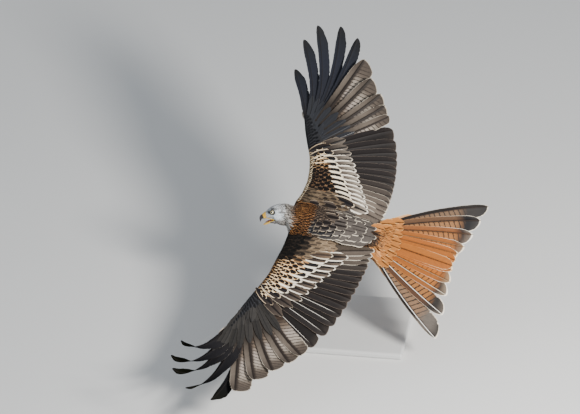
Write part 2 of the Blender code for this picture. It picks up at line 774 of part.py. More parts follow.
# Legs are drawn up and back under the belly: sections of the feathered shank, as back, out, up and radius.
SHANK = ((-0.004, 0.024, -0.044, 0.016), (0.018, 0.027, -0.058, 0.017), (0.040, 0.026, -0.066, 0.013),
         (0.058, 0.023, -0.068, 0.0075))
ANKLE = Vector((0.0585, 0.0229, -0.0681))
FOOT = Vector((0.104, 0.018, -0.060))
TOES = ((-22, 0.030), (0, 0.036), (20, 0.029), (176, 0.020))
TOE_RADIUS = (3.4 * MM, 2.5 * MM)
CLAW_LENGTH = (0.017, 0.016, 0.015, 0.020)


def arc(start, heading, length, bend, count):
    """Points along an arc that turns down evenly."""
    points = [start.copy()]
    sideways = heading.cross(BODY_UP).normalized()
    for i in range(count):
        turn = Matrix.Rotation(math.radians(-bend * (i + 0.5) / count), 3, sideways)
        points.append(points[-1] + (turn @ heading) * (length / count))
    return points


def make_legs():
    """Feathered shanks against the belly, bare feet with loosely closed toes, and eight claws."""
    for name, side in (("left", -1), ("right", 1)):
        mirror = Matrix.Diagonal((1, side, 1))
        places = [mirror @ Vector(row[:3]) for row in SHANK]
        shank = tube(f"leg_{name}", places, [row[3] for row in SHANK], "rufous", 14)
        combine(shank, [torso_solid("trunk", GAP)], "DIFFERENCE")
        way = (mirror @ (FOOT - Vector(SHANK[-1][:3]))).normalized()
        last = (places[-1] - places[-2]).normalized()
        ankle = places[-1] + last * GAP
        foot = mirror @ FOOT
        line = [ankle, ankle + last * 0.004 + way * 0.001, ankle.lerp(foot, 0.5), foot]
        pieces = [tube("tarsus", line, [5.4 * MM, 4.6 * MM, 4.0 * MM, 4.6 * MM], "cere_yellow")]
        pieces.append(ball("pad", Matrix.Translation(foot), (6.5 * MM, 5.5 * MM, 5.5 * MM), "cere_yellow"))
        for i, (spread, length) in enumerate(TOES):
            heading = Matrix.Rotation(math.radians(spread * side), 3, "Z") @ Vector((0.97, 0, -0.24)).normalized()
            if i == 3:
                heading = Vector((-0.55, 0, -0.83))
            points = arc(foot, heading, length, 62, 5)
            radii = [mix(*TOE_RADIUS, k / 5) for k in range(6)]
            pieces.append(tube("toe", points, radii, "cere_yellow", 6))
            ahead = (points[-1] - points[-2]).normalized()
            tip = points[-1] + ahead * GAP
            claw = arc(tip, ahead, CLAW_LENGTH[i], 62, 5)
            tube(f"claw_{name}_{i + 1}", claw, [2.3 * MM, 2.1 * MM, 1.7 * MM, 1.2 * MM, 0.8 * MM, 0.3 * MM],
                 "quill_black", 6, roughness=0.3)
        fuse(f"foot_{name}", pieces)


def make_stand(pose):
    """Base, collar and rod, and the blind hole that the rod fills in the belly."""
    bpy.ops.mesh.primitive_cube_add(size=1, location=(0, 0, BASE_SIZE[2] / 2))
    base = bpy.context.object
    base.name = "stand_base"
    base.data.transform(Matrix.Diagonal((*BASE_SIZE, 1)))
    base.data.materials.append(material("stand_grey", roughness=0.45))
    bevel = base.modifiers.new("rounded edges", "BEVEL")
    bevel.width = BASE_BEVEL
    bevel.segments = 2
    top = BASE_SIZE[2] + GAP
    inner = ROD_RADIUS + GAP
    rod = rod_solid("stand_rod", ROD_RADIUS, top, BODY_HEIGHT - ROD_TOP)
    collar = rod_solid("stand_collar", COLLAR_RADIUS, top, top + COLLAR_HEIGHT)
    combine(collar, [rod_solid("bore", inner, top - 0.01, top + COLLAR_HEIGHT + 0.01)], "DIFFERENCE")
    hole = rod_solid("hole", inner, top, BODY_HEIGHT - ROD_TOP + GAP)
    hole.data.transform(pose.inverted())
    torso = bpy.data.objects["torso"]
    combine(torso, [hole], "DIFFERENCE")
    return {base, rod, collar}


def rod_solid(name, radius, low, high):
    x, y = ROD_PLACE
    rings = []
    for z in (low, high):
        rings.append([Vector((x + radius * math.cos(a), y + radius * math.sin(a), z))
                      for a in (2 * math.pi * i / 24 for i in range(24))])
    return loft(name, rings, "stand_grey", roughness=0.35, metallic=0.8)


def main():
    for old in list(bpy.data.objects):
        bpy.data.objects.remove(old)
    make_torso()
    make_neck()
    make_head()
    make_bill()
    make_wing("left", LEFT_WING)
    make_wing("right", RIGHT_WING)
    make_tail()
    make_legs()
    hanger = bpy.data.objects.new("bird_in_bank", None)
    bpy.context.scene.collection.objects.link(hanger)
    turn = Matrix.Rotation(NOSE_UP, 4, "Y") @ Matrix.Rotation(BANK, 4, "X")
    pose = Matrix.Translation((0, 0, BODY_HEIGHT)) @ turn
    stand = make_stand(pose)
    hanger.matrix_world = pose
    for made in bpy.data.objects:
        if made.type == "MESH" and made not in stand:
            made.parent = hanger
        if made.type == "MESH":
            made.data.shade_smooth()
            made.data.set_sharp_from_angle(angle=math.radians(40))


main()
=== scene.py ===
"""The looks of a life-size red kite that banks in flight over a plain display stand.

Everything is modelled level in the bird's own frame and then banked as one. That frame has X back, -Y to the
bird's left and Z up, in metres. One skin carries the plumage, tract by tract. Every feather is a thin closed
vane rooted on the skin.
"""
import json
import math
from functools import partial

import bmesh
import bpy
import numpy as np
from mathutils import Matrix, Vector
from mathutils.bvhtree import BVHTree
from mathutils.kdtree import KDTree

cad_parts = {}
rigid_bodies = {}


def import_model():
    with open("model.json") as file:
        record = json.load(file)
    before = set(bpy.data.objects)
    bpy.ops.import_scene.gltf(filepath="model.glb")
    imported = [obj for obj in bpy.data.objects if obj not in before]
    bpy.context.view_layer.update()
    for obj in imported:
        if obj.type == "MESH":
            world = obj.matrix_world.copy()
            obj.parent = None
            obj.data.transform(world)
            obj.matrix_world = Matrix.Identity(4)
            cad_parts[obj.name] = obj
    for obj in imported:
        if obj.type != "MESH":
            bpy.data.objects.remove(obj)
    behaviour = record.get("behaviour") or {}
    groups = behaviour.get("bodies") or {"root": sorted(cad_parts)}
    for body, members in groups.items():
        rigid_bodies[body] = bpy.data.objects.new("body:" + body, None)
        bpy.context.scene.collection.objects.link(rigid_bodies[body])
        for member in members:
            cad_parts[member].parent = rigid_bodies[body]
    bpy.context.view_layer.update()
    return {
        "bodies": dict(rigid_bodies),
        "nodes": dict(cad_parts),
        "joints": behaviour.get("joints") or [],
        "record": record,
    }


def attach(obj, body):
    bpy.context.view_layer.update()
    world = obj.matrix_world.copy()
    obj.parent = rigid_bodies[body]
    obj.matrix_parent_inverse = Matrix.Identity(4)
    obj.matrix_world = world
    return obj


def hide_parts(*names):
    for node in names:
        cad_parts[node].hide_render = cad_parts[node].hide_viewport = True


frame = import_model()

MM = 0.001
UP = Vector((0, 0, 1))
AHEAD = Vector((-1, 0, 0))
chance = np.random.default_rng(11)

# The bank of the whole bird, as its solids have it.
BODY_HEIGHT = 0.345
BANK = math.radians(25.0)
NOSE_UP = math.radians(8.0)
POSE = Matrix.Translation((0, 0, BODY_HEIGHT))
POSE = POSE @ Matrix.Rotation(NOSE_UP, 4, "Y") @ Matrix.Rotation(BANK, 4, "X")

# The trunk from the neck to the tail: back, half width, rise above and drop below the axis.
TRUNK = (
    (-0.142, 0.050, 0.044, 0.043),
    (-0.120, 0.057, 0.045, 0.052),
    (-0.085, 0.060, 0.043, 0.061),
    (-0.035, 0.059, 0.039, 0.064),
    (0.010, 0.056, 0.034, 0.060),
    (0.050, 0.050, 0.029, 0.048),
    (0.085, 0.043, 0.022, 0.033),
    (0.118, 0.038, 0.016, 0.022),
)
SQUARENESS = 2.3
# How deep the skin lies under the plumage, and how fine it is.
COAT_DEPTH = 4.5 * MM
HEAD_COAT_DEPTH = 1.4 * MM
BODY_VOXEL = 2.2 * MM
HEAD_VOXEL = 0.75 * MM

# The head's place and turn from the body, then its sections in its own frame.
# Each section is given in mm: forward, crown, underside, half width.
HEAD_CENTRE = Vector((-0.200, 0.0, 0.025))
HEAD_TURN = math.radians(15.5)
HEAD_DIP = math.radians(6.8)
HEAD_ROLL = math.radians(48.5)
SKULL = (
    (-22.0, 26.0, -42.0, 27.0),
    (-12.0, 26.0, -38.5, 27.5),
    (-3.0, 24.5, -33.5, 26.5),
    (4.0, 22.5, -25.0, 24.5),
    (9.0, 20.5, -16.5, 22.5),
    (16.0, 16.8, -14.0, 18.5),
    (23.0, 11.8, -12.8, 13.6),
    (28.0, 8.0, -13.0, 10.4),
)
JAW = ((-8.0, -24.0, 8.0, 18.0), (4.0, -25.6, 6.6, 15.5), (11.0, -25.2, 5.0, 12.0), (18.0, -25.6, 4.0, 9.0))
# Bill parts in mm: forward, height, half depth, half width, dip.
CERE = ((28.3, -2.6, 10.3, 9.8, 0), (32.5, -4.8, 9.3, 8.0, -6), (37.0, -6.6, 7.7, 6.3, -14))
HOOK = (
    (37.3, -6.7, 7.6, 6.2, -14),
    (41.6, -8.4, 6.2, 5.0, -34),
    (44.6, -12.2, 4.3, 3.6, -58),
    (46.0, -16.6, 2.6, 2.3, -78),
    (46.2, -21.8, 0.6, 0.7, -92),
)
LOWER_BILL = (
    (18.35, -25.7, 3.9, 8.6, 0),
    (26.0, -28.2, 3.4, 6.8, -16),
    (33.5, -30.4, 2.6, 4.6, -12),
    (39.4, -31.2, 0.7, 1.6, 0),
)
TONGUE = ((6, -21.0, 1.4, 6.0, 0), (16, -20.6, 1.6, 5.4, -4), (26, -22.6, 1.3, 3.6, -16),
          (33, -25.6, 0.5, 1.0, -22))
# The yellow edge of the mouth, above and below: forward, out, up.
GAPE = (
    ((6, 21.6, -16.9), (10, 20.4, -16.2), (16, 17.3, -13.9), (22, 13.2, -12.4), (28.4, 9.6, -10.6)),
    ((6, 20.6, -18.0), (9, 15.6, -21.2), (13, 12.6, -22.6), (18, 9.8, -23.0), (22, 8.4, -24.2)),
)
JAW_ROWS = 13
# The eye's middle in mm, its ball, the bulge of its cornea and the rings of its iris.
EYE = (8.0, 14.6, 5.4)
EYE_RADIUS = 7.8
CORNEA_RADIUS = 5.2
CORNEA_BULGE = 0.75
PUPIL_RADIUS = 3.0
IRIS_RADIUS = 5.3
# How far each line of sight turns out from straight ahead and how far it dips, in degrees.
GAZE_OUT = 78
GAZE_DIP = -4
# The lid ring's distance out, its radius and its thickness, and the bare skin that shows round the eye.
LID = (19.6, 7.3, 1.35)
BARE_RING = 7.9
DARK_RING = 8.1
BROW = ((15.5, 20.0, 9.2), (8.0, 22.6, 13.2), (0.5, 24.6, 13.0))

# The wings, from the same measures as their solids: back, out from the midline, up.
PRIMARY_LENGTHS = (0.262, 0.268, 0.278, 0.298, 0.342, 0.396, 0.415, 0.390, 0.332, 0.230)
PRIMARIES = len(PRIMARY_LENGTHS)
SECONDARIES = 14
# How far each feather tilts over the next one, in degrees.
SHINGLE = 6.0
LEFT_WING = {
    "side": -1,
    "edge": (
        (-0.150, 0.0503, 0.004),
        (-0.157, 0.100, 0.004),
        (-0.170, 0.154, 0.004),
        (-0.181, 0.203, 0.003),
        (-0.202, 0.252, 0.002),
        (-0.223, 0.298, 0.001),
        (-0.243, 0.345, 0.001),
        (-0.268, 0.412, 0.002),
    ),
    "elbow": (-0.030, 0.082, 0.000),
    "wrist": (-0.200, 0.286, -0.001),
    "hand_tip": (-0.262, 0.404, 0.002),
    "sweep": (38, 31, 21, 11, 3, 13, 6, -3, -7, -18),
    "rise": (0,) * 10,
    "bend": (6, 6, 6, 6, 4, -36, -46, -50, -58, -54),
    "curl": (20, 22, 26, 28, 32, 36, 52, 66, 69, 73),
    "twist": (0, 0, 0, 0, 0, 0, -85, -104, -97, -88),
    "secondary_sweep": (33, 104, 0.4),
    "secondary_length": (0.235, 0.154, 1.3),
    "alula_sweep": -20,
}
RIGHT_WING = {
    "side": 1,
    "edge": (
        (-0.152, 0.0503, 0.012),
        (-0.136, 0.098, 0.006),
        (-0.128, 0.145, 0.003),
        (-0.130, 0.190, 0.002),
        (-0.138, 0.235, 0.001),
        (-0.154, 0.280, -0.001),
        (-0.168, 0.326, -0.006),
        (-0.182, 0.384, -0.015),
    ),
    "elbow": (-0.020, 0.091, 0.000),
    "wrist": (-0.130, 0.265, -0.002),
    "hand_tip": (-0.172, 0.374, -0.016),
    "sweep": (48, 42, 36, 25, 16, 15, 14, 12, 5, -11),
    "rise": (-6, -7, -8, -9, -11, -13, -15, -17, -20, -26),
    "bend": (5, 5, 5, 5, 5, -7, -21, -36, -34, -15),
    "curl": (18, 22, 26, 20, 20, 26, 30, 42, 42, 31),
    "twist": (0,) * 10,
    "secondary_sweep": (47, 104, 0.6),
    "secondary_length": (0.261, 0.145, 1.1),
    "alula_sweep": -14,
}
ROOT_CHORD = 0.145
WRIST_CHORD = 0.062
TIP_CHORD = 0.020
ARM_THICKNESS = (0.014, 0.009)
WRIST_THICKNESS = (0.008, 0.005)
TIP_THICKNESS = (0.0035, 0.0030)

# The tail fan: its turn from the body, the places of its tips, and where its roots start and how far apart.
TAIL_RISE = -0.005
TAIL_TURN = math.radians(-9.0)
TAIL_TWIST = math.radians(18.0)
LEFT_TAIL_TIPS = ((0.238, 0.002), (0.242, 0.016), (0.249, 0.051), (0.253, 0.093), (0.262, 0.153),
                  (0.267, 0.230))
RIGHT_TAIL_TIPS = ((0.240, 0.018), (0.241, 0.040), (0.252, 0.067), (0.262, 0.112), (0.269, 0.162),
                   (0.275, 0.211))
TAIL_BEND = (0, 2, 4, 6, 9, 14)
TAIL_ROOT = (0.012, 0.006, 0.0093)
TAIL_CORE = ((0.0, 0.037, 0.016, 0.022), (0.010, 0.050, 0.013, 0.016), (0.022, 0.064, 0.010, 0.012),
             (0.036, 0.068, 0.007, 0.008), (0.048, 0.064, 0.004, 0.005))

# Vane outlines: share of the length, then the shares of the outer and the inner half width.
FINGER = ((0, 0.12, 0.08), (0.06, 0.45, 0.35), (0.14, 0.9, 0.7), (0.33, 1, 1), (0.44, 0.9, 0.92),
          (0.56, 0.85, 0.66), (0.74, 0.92, 0.66), (0.9, 0.98, 0.68), (1, 0.72, 0.46))
CURLED = ((0, 0.12, 0.08), (0.06, 0.45, 0.35), (0.14, 0.9, 0.7), (0.33, 1, 1), (0.44, 0.9, 0.92),
          (0.56, 0.85, 0.66), (0.74, 0.95, 0.70), (0.86, 1, 0.74), (0.94, 0.8, 0.56), (1, 0.32, 0.2))
BLADE = ((0, 0.12, 0.07), (0.08, 0.6, 0.35), (0.18, 0.9, 0.6), (0.5, 1, 0.92), (0.8, 1, 1),
         (0.93, 0.95, 0.98), (1, 0.7, 0.86))
BROAD = ((0, 0.12, 0.09), (0.08, 0.6, 0.5), (0.2, 0.92, 0.82), (0.6, 1, 1), (0.93, 0.97, 0.97),
         (1, 0.75, 0.8))
COVERT = ((0, 0.15, 0.15), (0.15, 0.6, 0.6), (0.4, 0.95, 0.95), (0.7, 1, 1), (0.9, 0.9, 0.9), (1, 0.6, 0.6))
LANCE = ((0, 0.3, 0.3), (0.3, 0.9, 0.9), (0.55, 1, 1), (0.8, 0.75, 0.75), (1, 0.22, 0.22))

# Scapulars roll so that the ones nearer the spine lap over the outer ones.
SCAPULAR_ROLL = math.radians(4.0)

# Shanks, feet and claws, drawn up under the belly: back, out, up and radius.
SHANK = ((-0.004, 0.024, -0.044, 0.016), (0.018, 0.027, -0.058, 0.017), (0.040, 0.026, -0.066, 0.013),
         (0.058, 0.023, -0.068, 0.0075))
FOOT = Vector((0.104, 0.018, -0.060))
TOES = ((-22, 0.030), (0, 0.036), (20, 0.029), (176, 0.020))
TOE_RADIUS = (3.4 * MM, 2.5 * MM)
CLAW_LENGTH = (0.017, 0.016, 0.015, 0.020)

# Each tract's plumage: the web, its rim and its marks as sRGB, then the rim's and the dark centre's shares of
# the half width, and how dark the shaft line is.
PLUMAGE = {
    "cheek": ("dce6ec", "ecf0f3", "7d7c7a", 0.0, 0.14, 0.4),
    "crown": ("f6fafd", "fbfcfd", "5a5652", 0.0, 0.25, 0.8),
    # The lore colour also paints shade under the brow ridge.
    "lore": ("3a3532", "5a534c", "1a1715", 0.0, 0.30, 0.5),
    "throat": ("b6b3ae", "cac6c0", "2c2724", 0.0, 0.38, 0.8),
    "nape": ("a8a096", "e8e4de", "0e0c0b", 0.20, 0.58, 1.0),
    "hackle": ("724726", "ae7d4b", "0b0907", 0.16, 0.67, 1.0),
    "mantle": ("4a4038", "947f69", "1c1613", 0.16, 0.44, 0.8),
    "front_scapular": ("28292d", "9e917e", "121316", 0.14, 0.60, 0.6),
    "rear_scapular": ("524c47", "e9dcc6", "1a1614", 0.10, 0.06, 1.0),
    # The rump's dark brown is painted shade where the tail meets the body.
    "rump": ("3a2a1f", "6d5138", "17100c", 0.18, 0.35, 0.8),
    "uppertail": ("a5672f", "cf9f68", "341f10", 0.12, 0.12, 1.0),
    "breast": ("8a4a28", "b87c4c", "1c120c", 0.14, 0.42, 1.0),
    "belly": ("93481f", "ad6a38", "2a1a11", 0.12, 0.16, 0.8),
    "undertail": ("bd8250", "d6aa74", "5c3822", 0.12, 0.06, 0.6),
    "trousers": ("a0531f", "b5743f", "3c2214", 0.10, 0.08, 0.5),
    "marginal": ("9a6a3d", "d2a871", "1c1511", 0.22, 0.36, 0.5),
    "lesser": ("be8347", "f6cc96", "100d0c", 0.26, 0.66, 0.6),
    "dark_lesser": ("352820", "9a7552", "0d0b0a", 0.14, 0.62, 0.6),
    "sandy": ("d8b281", "fbeccb", "16110f", 0.30, 0.58, 0.6),
    "inner_covert": ("7b6852", "a08c72", "463b31", 0.14, 0.14, 0.7),
    "dark_shoulder": ("110e0c", "2a211a", "080706", 0.12, 0.60, 0.4),
    "underwing": ("96461f", "b8743f", "120d0b", 0.14, 0.42, 0.9),
    "hand_edge": ("242427", "3f4043", "0e0e10", 0.12, 0.5, 0.4),
}


def linear(code):
    """An sRGB hex colour as linear light."""
    parts = [int(code[i:i + 2], 16) / 255 for i in (0, 2, 4)]
    return np.array([c / 12.92 if c <= 0.04045 else ((c + 0.055) / 1.055) ** 2.4 for c in parts])


def mix(a, b, t):
    return a + (b - a) * t


def unit(share):
    """A share kept between 0 and 1."""
    return min(1.0, max(0.0, share))


def plumage(first, second=None, share=0.0):
    """The looks of a feather between two tracts, as one row: web, rim, mark, rim and centre shares, shaft."""
    rows = []
    for name in (first, second or first):
        web, rim, mark, *sizes = PLUMAGE[name]
        rows.append(np.concatenate([linear(web), linear(rim), linear(mark), sizes]))
    return mix(rows[0], rows[1], unit(share))


# Shapes

def smooth(table, share):
    """The row at a share of a table's rows, on a curve through them."""
    at = share * (len(table) - 1)
    i = min(int(at), len(table) - 2)
    t = at - i
    near = (max(i - 1, 0), i, i + 1, min(i + 2, len(table) - 1))
    p0, p1, p2, p3 = (np.array(table[k], float) for k in near)
    bend = 2 * p0 - 5 * p1 + 4 * p2 - p3
    twist = 3 * p1 - p0 - 3 * p2 + p3
    return 0.5 * (2 * p1 + (p2 - p0) * t + bend * t * t + twist * t**3)


def frame_at(place, forward, up):
    """A frame with X forward and Z near up, so that Y is its left."""
    forward = forward.normalized()
    left = up.cross(forward).normalized()
    return Matrix.Translation(place) @ Matrix((forward, left, forward.cross(left))).transposed().to_4x4()


def in_frame(frame, points):
    """Rows of points out of a frame."""
    turn = np.array(frame)
    return np.asarray(points, float) @ turn[:3, :3].T + turn[:3, 3]


def ring(frame, half_width, above, below, angles, squareness=SQUARENESS):
    """Points round a frame's middle, in its plane of left and up."""
    c, s = np.cos(angles), np.sin(angles)
    left = half_width * np.sign(c) * np.abs(c) ** (2 / squareness)
    up = np.where(s > 0, above, below) * np.sign(s) * np.abs(s) ** (2 / squareness)
    return in_frame(frame, np.stack([0 * left, left, up], -1))


def turns(count):
    return np.linspace(0, 2 * math.pi, count, endpoint=False)


def head_frame():
    """The head's own frame: forward, left and up from a point behind the eyes."""
    turned = Matrix.Rotation(HEAD_TURN, 3, UP) @ AHEAD
    left = UP.cross(turned)
    forward = Matrix.Rotation(HEAD_DIP, 3, left) @ turned
    up = Matrix.Rotation(HEAD_ROLL, 3, forward) @ forward.cross(left)
    return frame_at(HEAD_CENTRE, forward, up)


HEAD = head_frame()
HEAD_AHEAD = HEAD.col[0].to_3d()


def in_head(forward, left, up, dip=0.0):
    """A frame in the head, placed in mm and dipped about its left."""
    place = Matrix.Translation(Vector((forward, left, up)) * MM)
    return HEAD @ place @ Matrix.Rotation(-math.radians(dip), 4, "Y")


def trunk_section(share):
    """The frame and sizes of the trunk at a share of its length."""
    back, half_width, above, below = smooth(TRUNK, share)
    return frame_at(Vector((back, 0, 0)), AHEAD, UP), (half_width, above, below)


def neck_section(t):
    """The frame and sizes of the neck at a share of its way from the trunk to the head."""
    start = frame_at(Vector((TRUNK[0][0], 0, 0)), AHEAD, UP)
    end = HEAD @ Matrix.Translation((SKULL[0][0] * MM, 0, 0))
    reach = (end.translation - start.translation).length
    place = (start.translation * (2 * t**3 - 3 * t**2 + 1) + AHEAD * reach * (t**3 - 2 * t**2 + t)
             + end.translation * (3 * t**2 - 2 * t**3) + HEAD_AHEAD * reach * (t**3 - t**2))
    turn = start.to_quaternion().slerp(end.to_quaternion(), t)
    _, crown, underside, wide = SKULL[0]
    sizes = [mix(a, b * MM, t) for a, b in zip(TRUNK[0][1:], (wide, crown, -underside))]
    return Matrix.Translation(place) @ turn.to_matrix().to_4x4(), sizes


def skull_section(share):
    """The frame and sizes of the skull at a share of its length from the back, and how far forward in mm."""
    forward, crown, underside, wide = smooth(SKULL, share)
    middle = 0.5 * (crown + underside) if share else 0.0
    return in_head(forward, 0, middle), (wide * MM, (crown - middle) * MM, (middle - underside) * MM), forward


def loft(rings):
    """Points and faces of a closed solid through rings of as many points each."""
    rings = np.array(rings)
    count, sides, _ = rings.shape
    index = np.arange(count * sides).reshape(count, sides)
    after = np.roll(index, -1, 1)
    quads = np.stack([index[:-1], after[:-1], after[1:], index[1:]], -1).reshape(-1, 4)
    return rings.reshape(-1, 3), [quads, np.stack([index[0][::-1], index[-1]])]


def tube(centres, radii, sides=12):
    """Points and faces of a round bar along a bending line."""
    centres = [Vector(c) for c in centres]
    rings = []
    for i, centre in enumerate(centres):
        ahead = centres[min(i + 1, len(centres) - 1)] - centres[max(i - 1, 0)]
        side = UP if abs(ahead.normalized().dot(UP)) < 0.9 else Vector((1, 0, 0))
        rings.append(ring(frame_at(centre, ahead, side), radii[i], radii[i], radii[i], turns(sides), 2.0))
    return loft(rings)


def torus(frame, radius, thick, count=48, sides=12):
    """Points and faces of a ring about a frame's Y axis."""
    around, across = turns(count)[:, None], turns(sides)[None]
    out = radius + thick * np.cos(across)
    local = np.stack([np.cos(around) * out, thick * np.sin(across) + 0 * around, np.sin(around) * out], -1)
    index = np.arange(count * sides).reshape(count, sides)
    ahead, beside = np.roll(index, -1, 0), np.roll(index, -1, 1)
    quads = np.stack([index, beside, np.roll(ahead, -1, 1), ahead], -1).reshape(-1, 4)
    return in_frame(frame, local.reshape(-1, 3)), [quads]


def ball(frame, radii, rings=40, sides=48):
    """Points and faces of an ellipsoid whose poles lie on its frame's X axis."""
    rows = []
    for lean in np.linspace(0.02, math.pi - 0.02, rings):
        angles = turns(sides)
        rows.append(np.stack([np.full(sides, math.cos(lean)), math.sin(lean) * np.cos(angles),
                              math.sin(lean) * np.sin(angles)], -1) * radii)
    points, faces = loft(rows)
    return in_frame(frame, points), faces


def mesh_of(name, parts):
    """One mesh from several sets of points and faces, each turned outwards."""
    points, corners, sizes = [], [], []
    start = 0
    for part_points, part_faces in parts:
        volume = 0.0
        for faces in part_faces:
            a = part_points[faces[:, 0]]
            for k in range(1, faces.shape[1] - 1):
                b, d = part_points[faces[:, k]], part_points[faces[:, k + 1]]
                volume += np.einsum("ij,ij->", a, np.cross(b, d))
        for faces in part_faces:
            faces = faces[:, ::-1] if volume < 0 else faces
            corners.append((faces + start).ravel())
            sizes.append(np.full(len(faces), faces.shape[1]))
        points.append(part_points)
        start += len(part_points)
    sizes = np.concatenate(sizes)
    mesh = bpy.data.meshes.new(name)
    mesh.vertices.add(start)
    mesh.vertices.foreach_set("co", np.concatenate(points).astype(np.float32).ravel())
    mesh.loops.add(int(sizes.sum()))
    mesh.loops.foreach_set("vertex_index", np.concatenate(corners).astype(np.int32))
    mesh.polygons.add(len(sizes))
    mesh.polygons.foreach_set("loop_start", (np.cumsum(sizes) - sizes).astype(np.int32))
    mesh.update(calc_edges=True)
    return mesh


def piece(name, mesh, material, nodes=(), sharp=40):
    """Puts a mesh of the bird's frame into the scene in its pose, riding with the object."""
    mesh.transform(POSE)
    mesh.materials.clear()
    mesh.materials.append(material)
    mesh.shade_smooth()
    mesh.set_sharp_from_angle(angle=math.radians(sharp))
    made = bpy.data.objects.new(name, mesh)
    bpy.context.scene.collection.objects.link(made)
    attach(made, "root")
    if nodes:
        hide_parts(*nodes)
    return made


def remeshed(name, parts, voxel, smoothing, cutters=()):
    """One skin grown round overlapping solids, smoothed, with holes cut by other solids."""
    work = bpy.data.objects.new(name, mesh_of(name, parts))
    bpy.context.scene.collection.objects.link(work)
    grow = work.modifiers.new("one skin", "REMESH")
    grow.mode = "VOXEL"
    grow.voxel_size = voxel
    ease = work.modifiers.new("ease", "SMOOTH")
    ease.factor = 0.5
    ease.iterations = smoothing
    tools = []
    for k, cutter in enumerate(cutters):
        tool = bpy.data.objects.new(f"cutter_{k}", mesh_of("cutter", [cutter]))
        bpy.context.scene.collection.objects.link(tool)
        cut = work.modifiers.new("cut", "BOOLEAN")
        cut.operation = "DIFFERENCE"
        cut.solver = "EXACT"
        cut.object = tool
        tools.append(tool)
    bpy.context.view_layer.update()
    graph = bpy.context.evaluated_depsgraph_get()
    mesh = bpy.data.meshes.new_from_object(work.evaluated_get(graph))
    for old in (work, *tools):
        bpy.data.objects.remove(old)
    return mesh


# Materials

def feed(node, inputs):
    """Sets a node's inputs to values, or links them to other nodes' outputs."""
    for key, value in inputs.items():
        if isinstance(value, bpy.types.NodeSocket):
            node.id_data.links.new(value, node.inputs[key])
        else:
            node.inputs[key].default_value = value


def add(tree, kind, inputs=None, output=0, **settings):
    """Adds a shader node with its settings and its inputs, and gives one of its outputs."""
    node = tree.nodes.new("ShaderNode" + kind)
    for key, value in settings.items():
        setattr(node, key, value)
    feed(node, inputs or {})
    return node.outputs[output]


def new_material(name):
    """An empty material, the way to add nodes to it, and its shader."""
    made = bpy.data.materials.new(name)
    made.use_nodes = True
    tree = made.node_tree
    return made, partial(add, tree), tree.nodes["Principled BSDF"]


def four(code):
    return (*linear(code), 1.0)


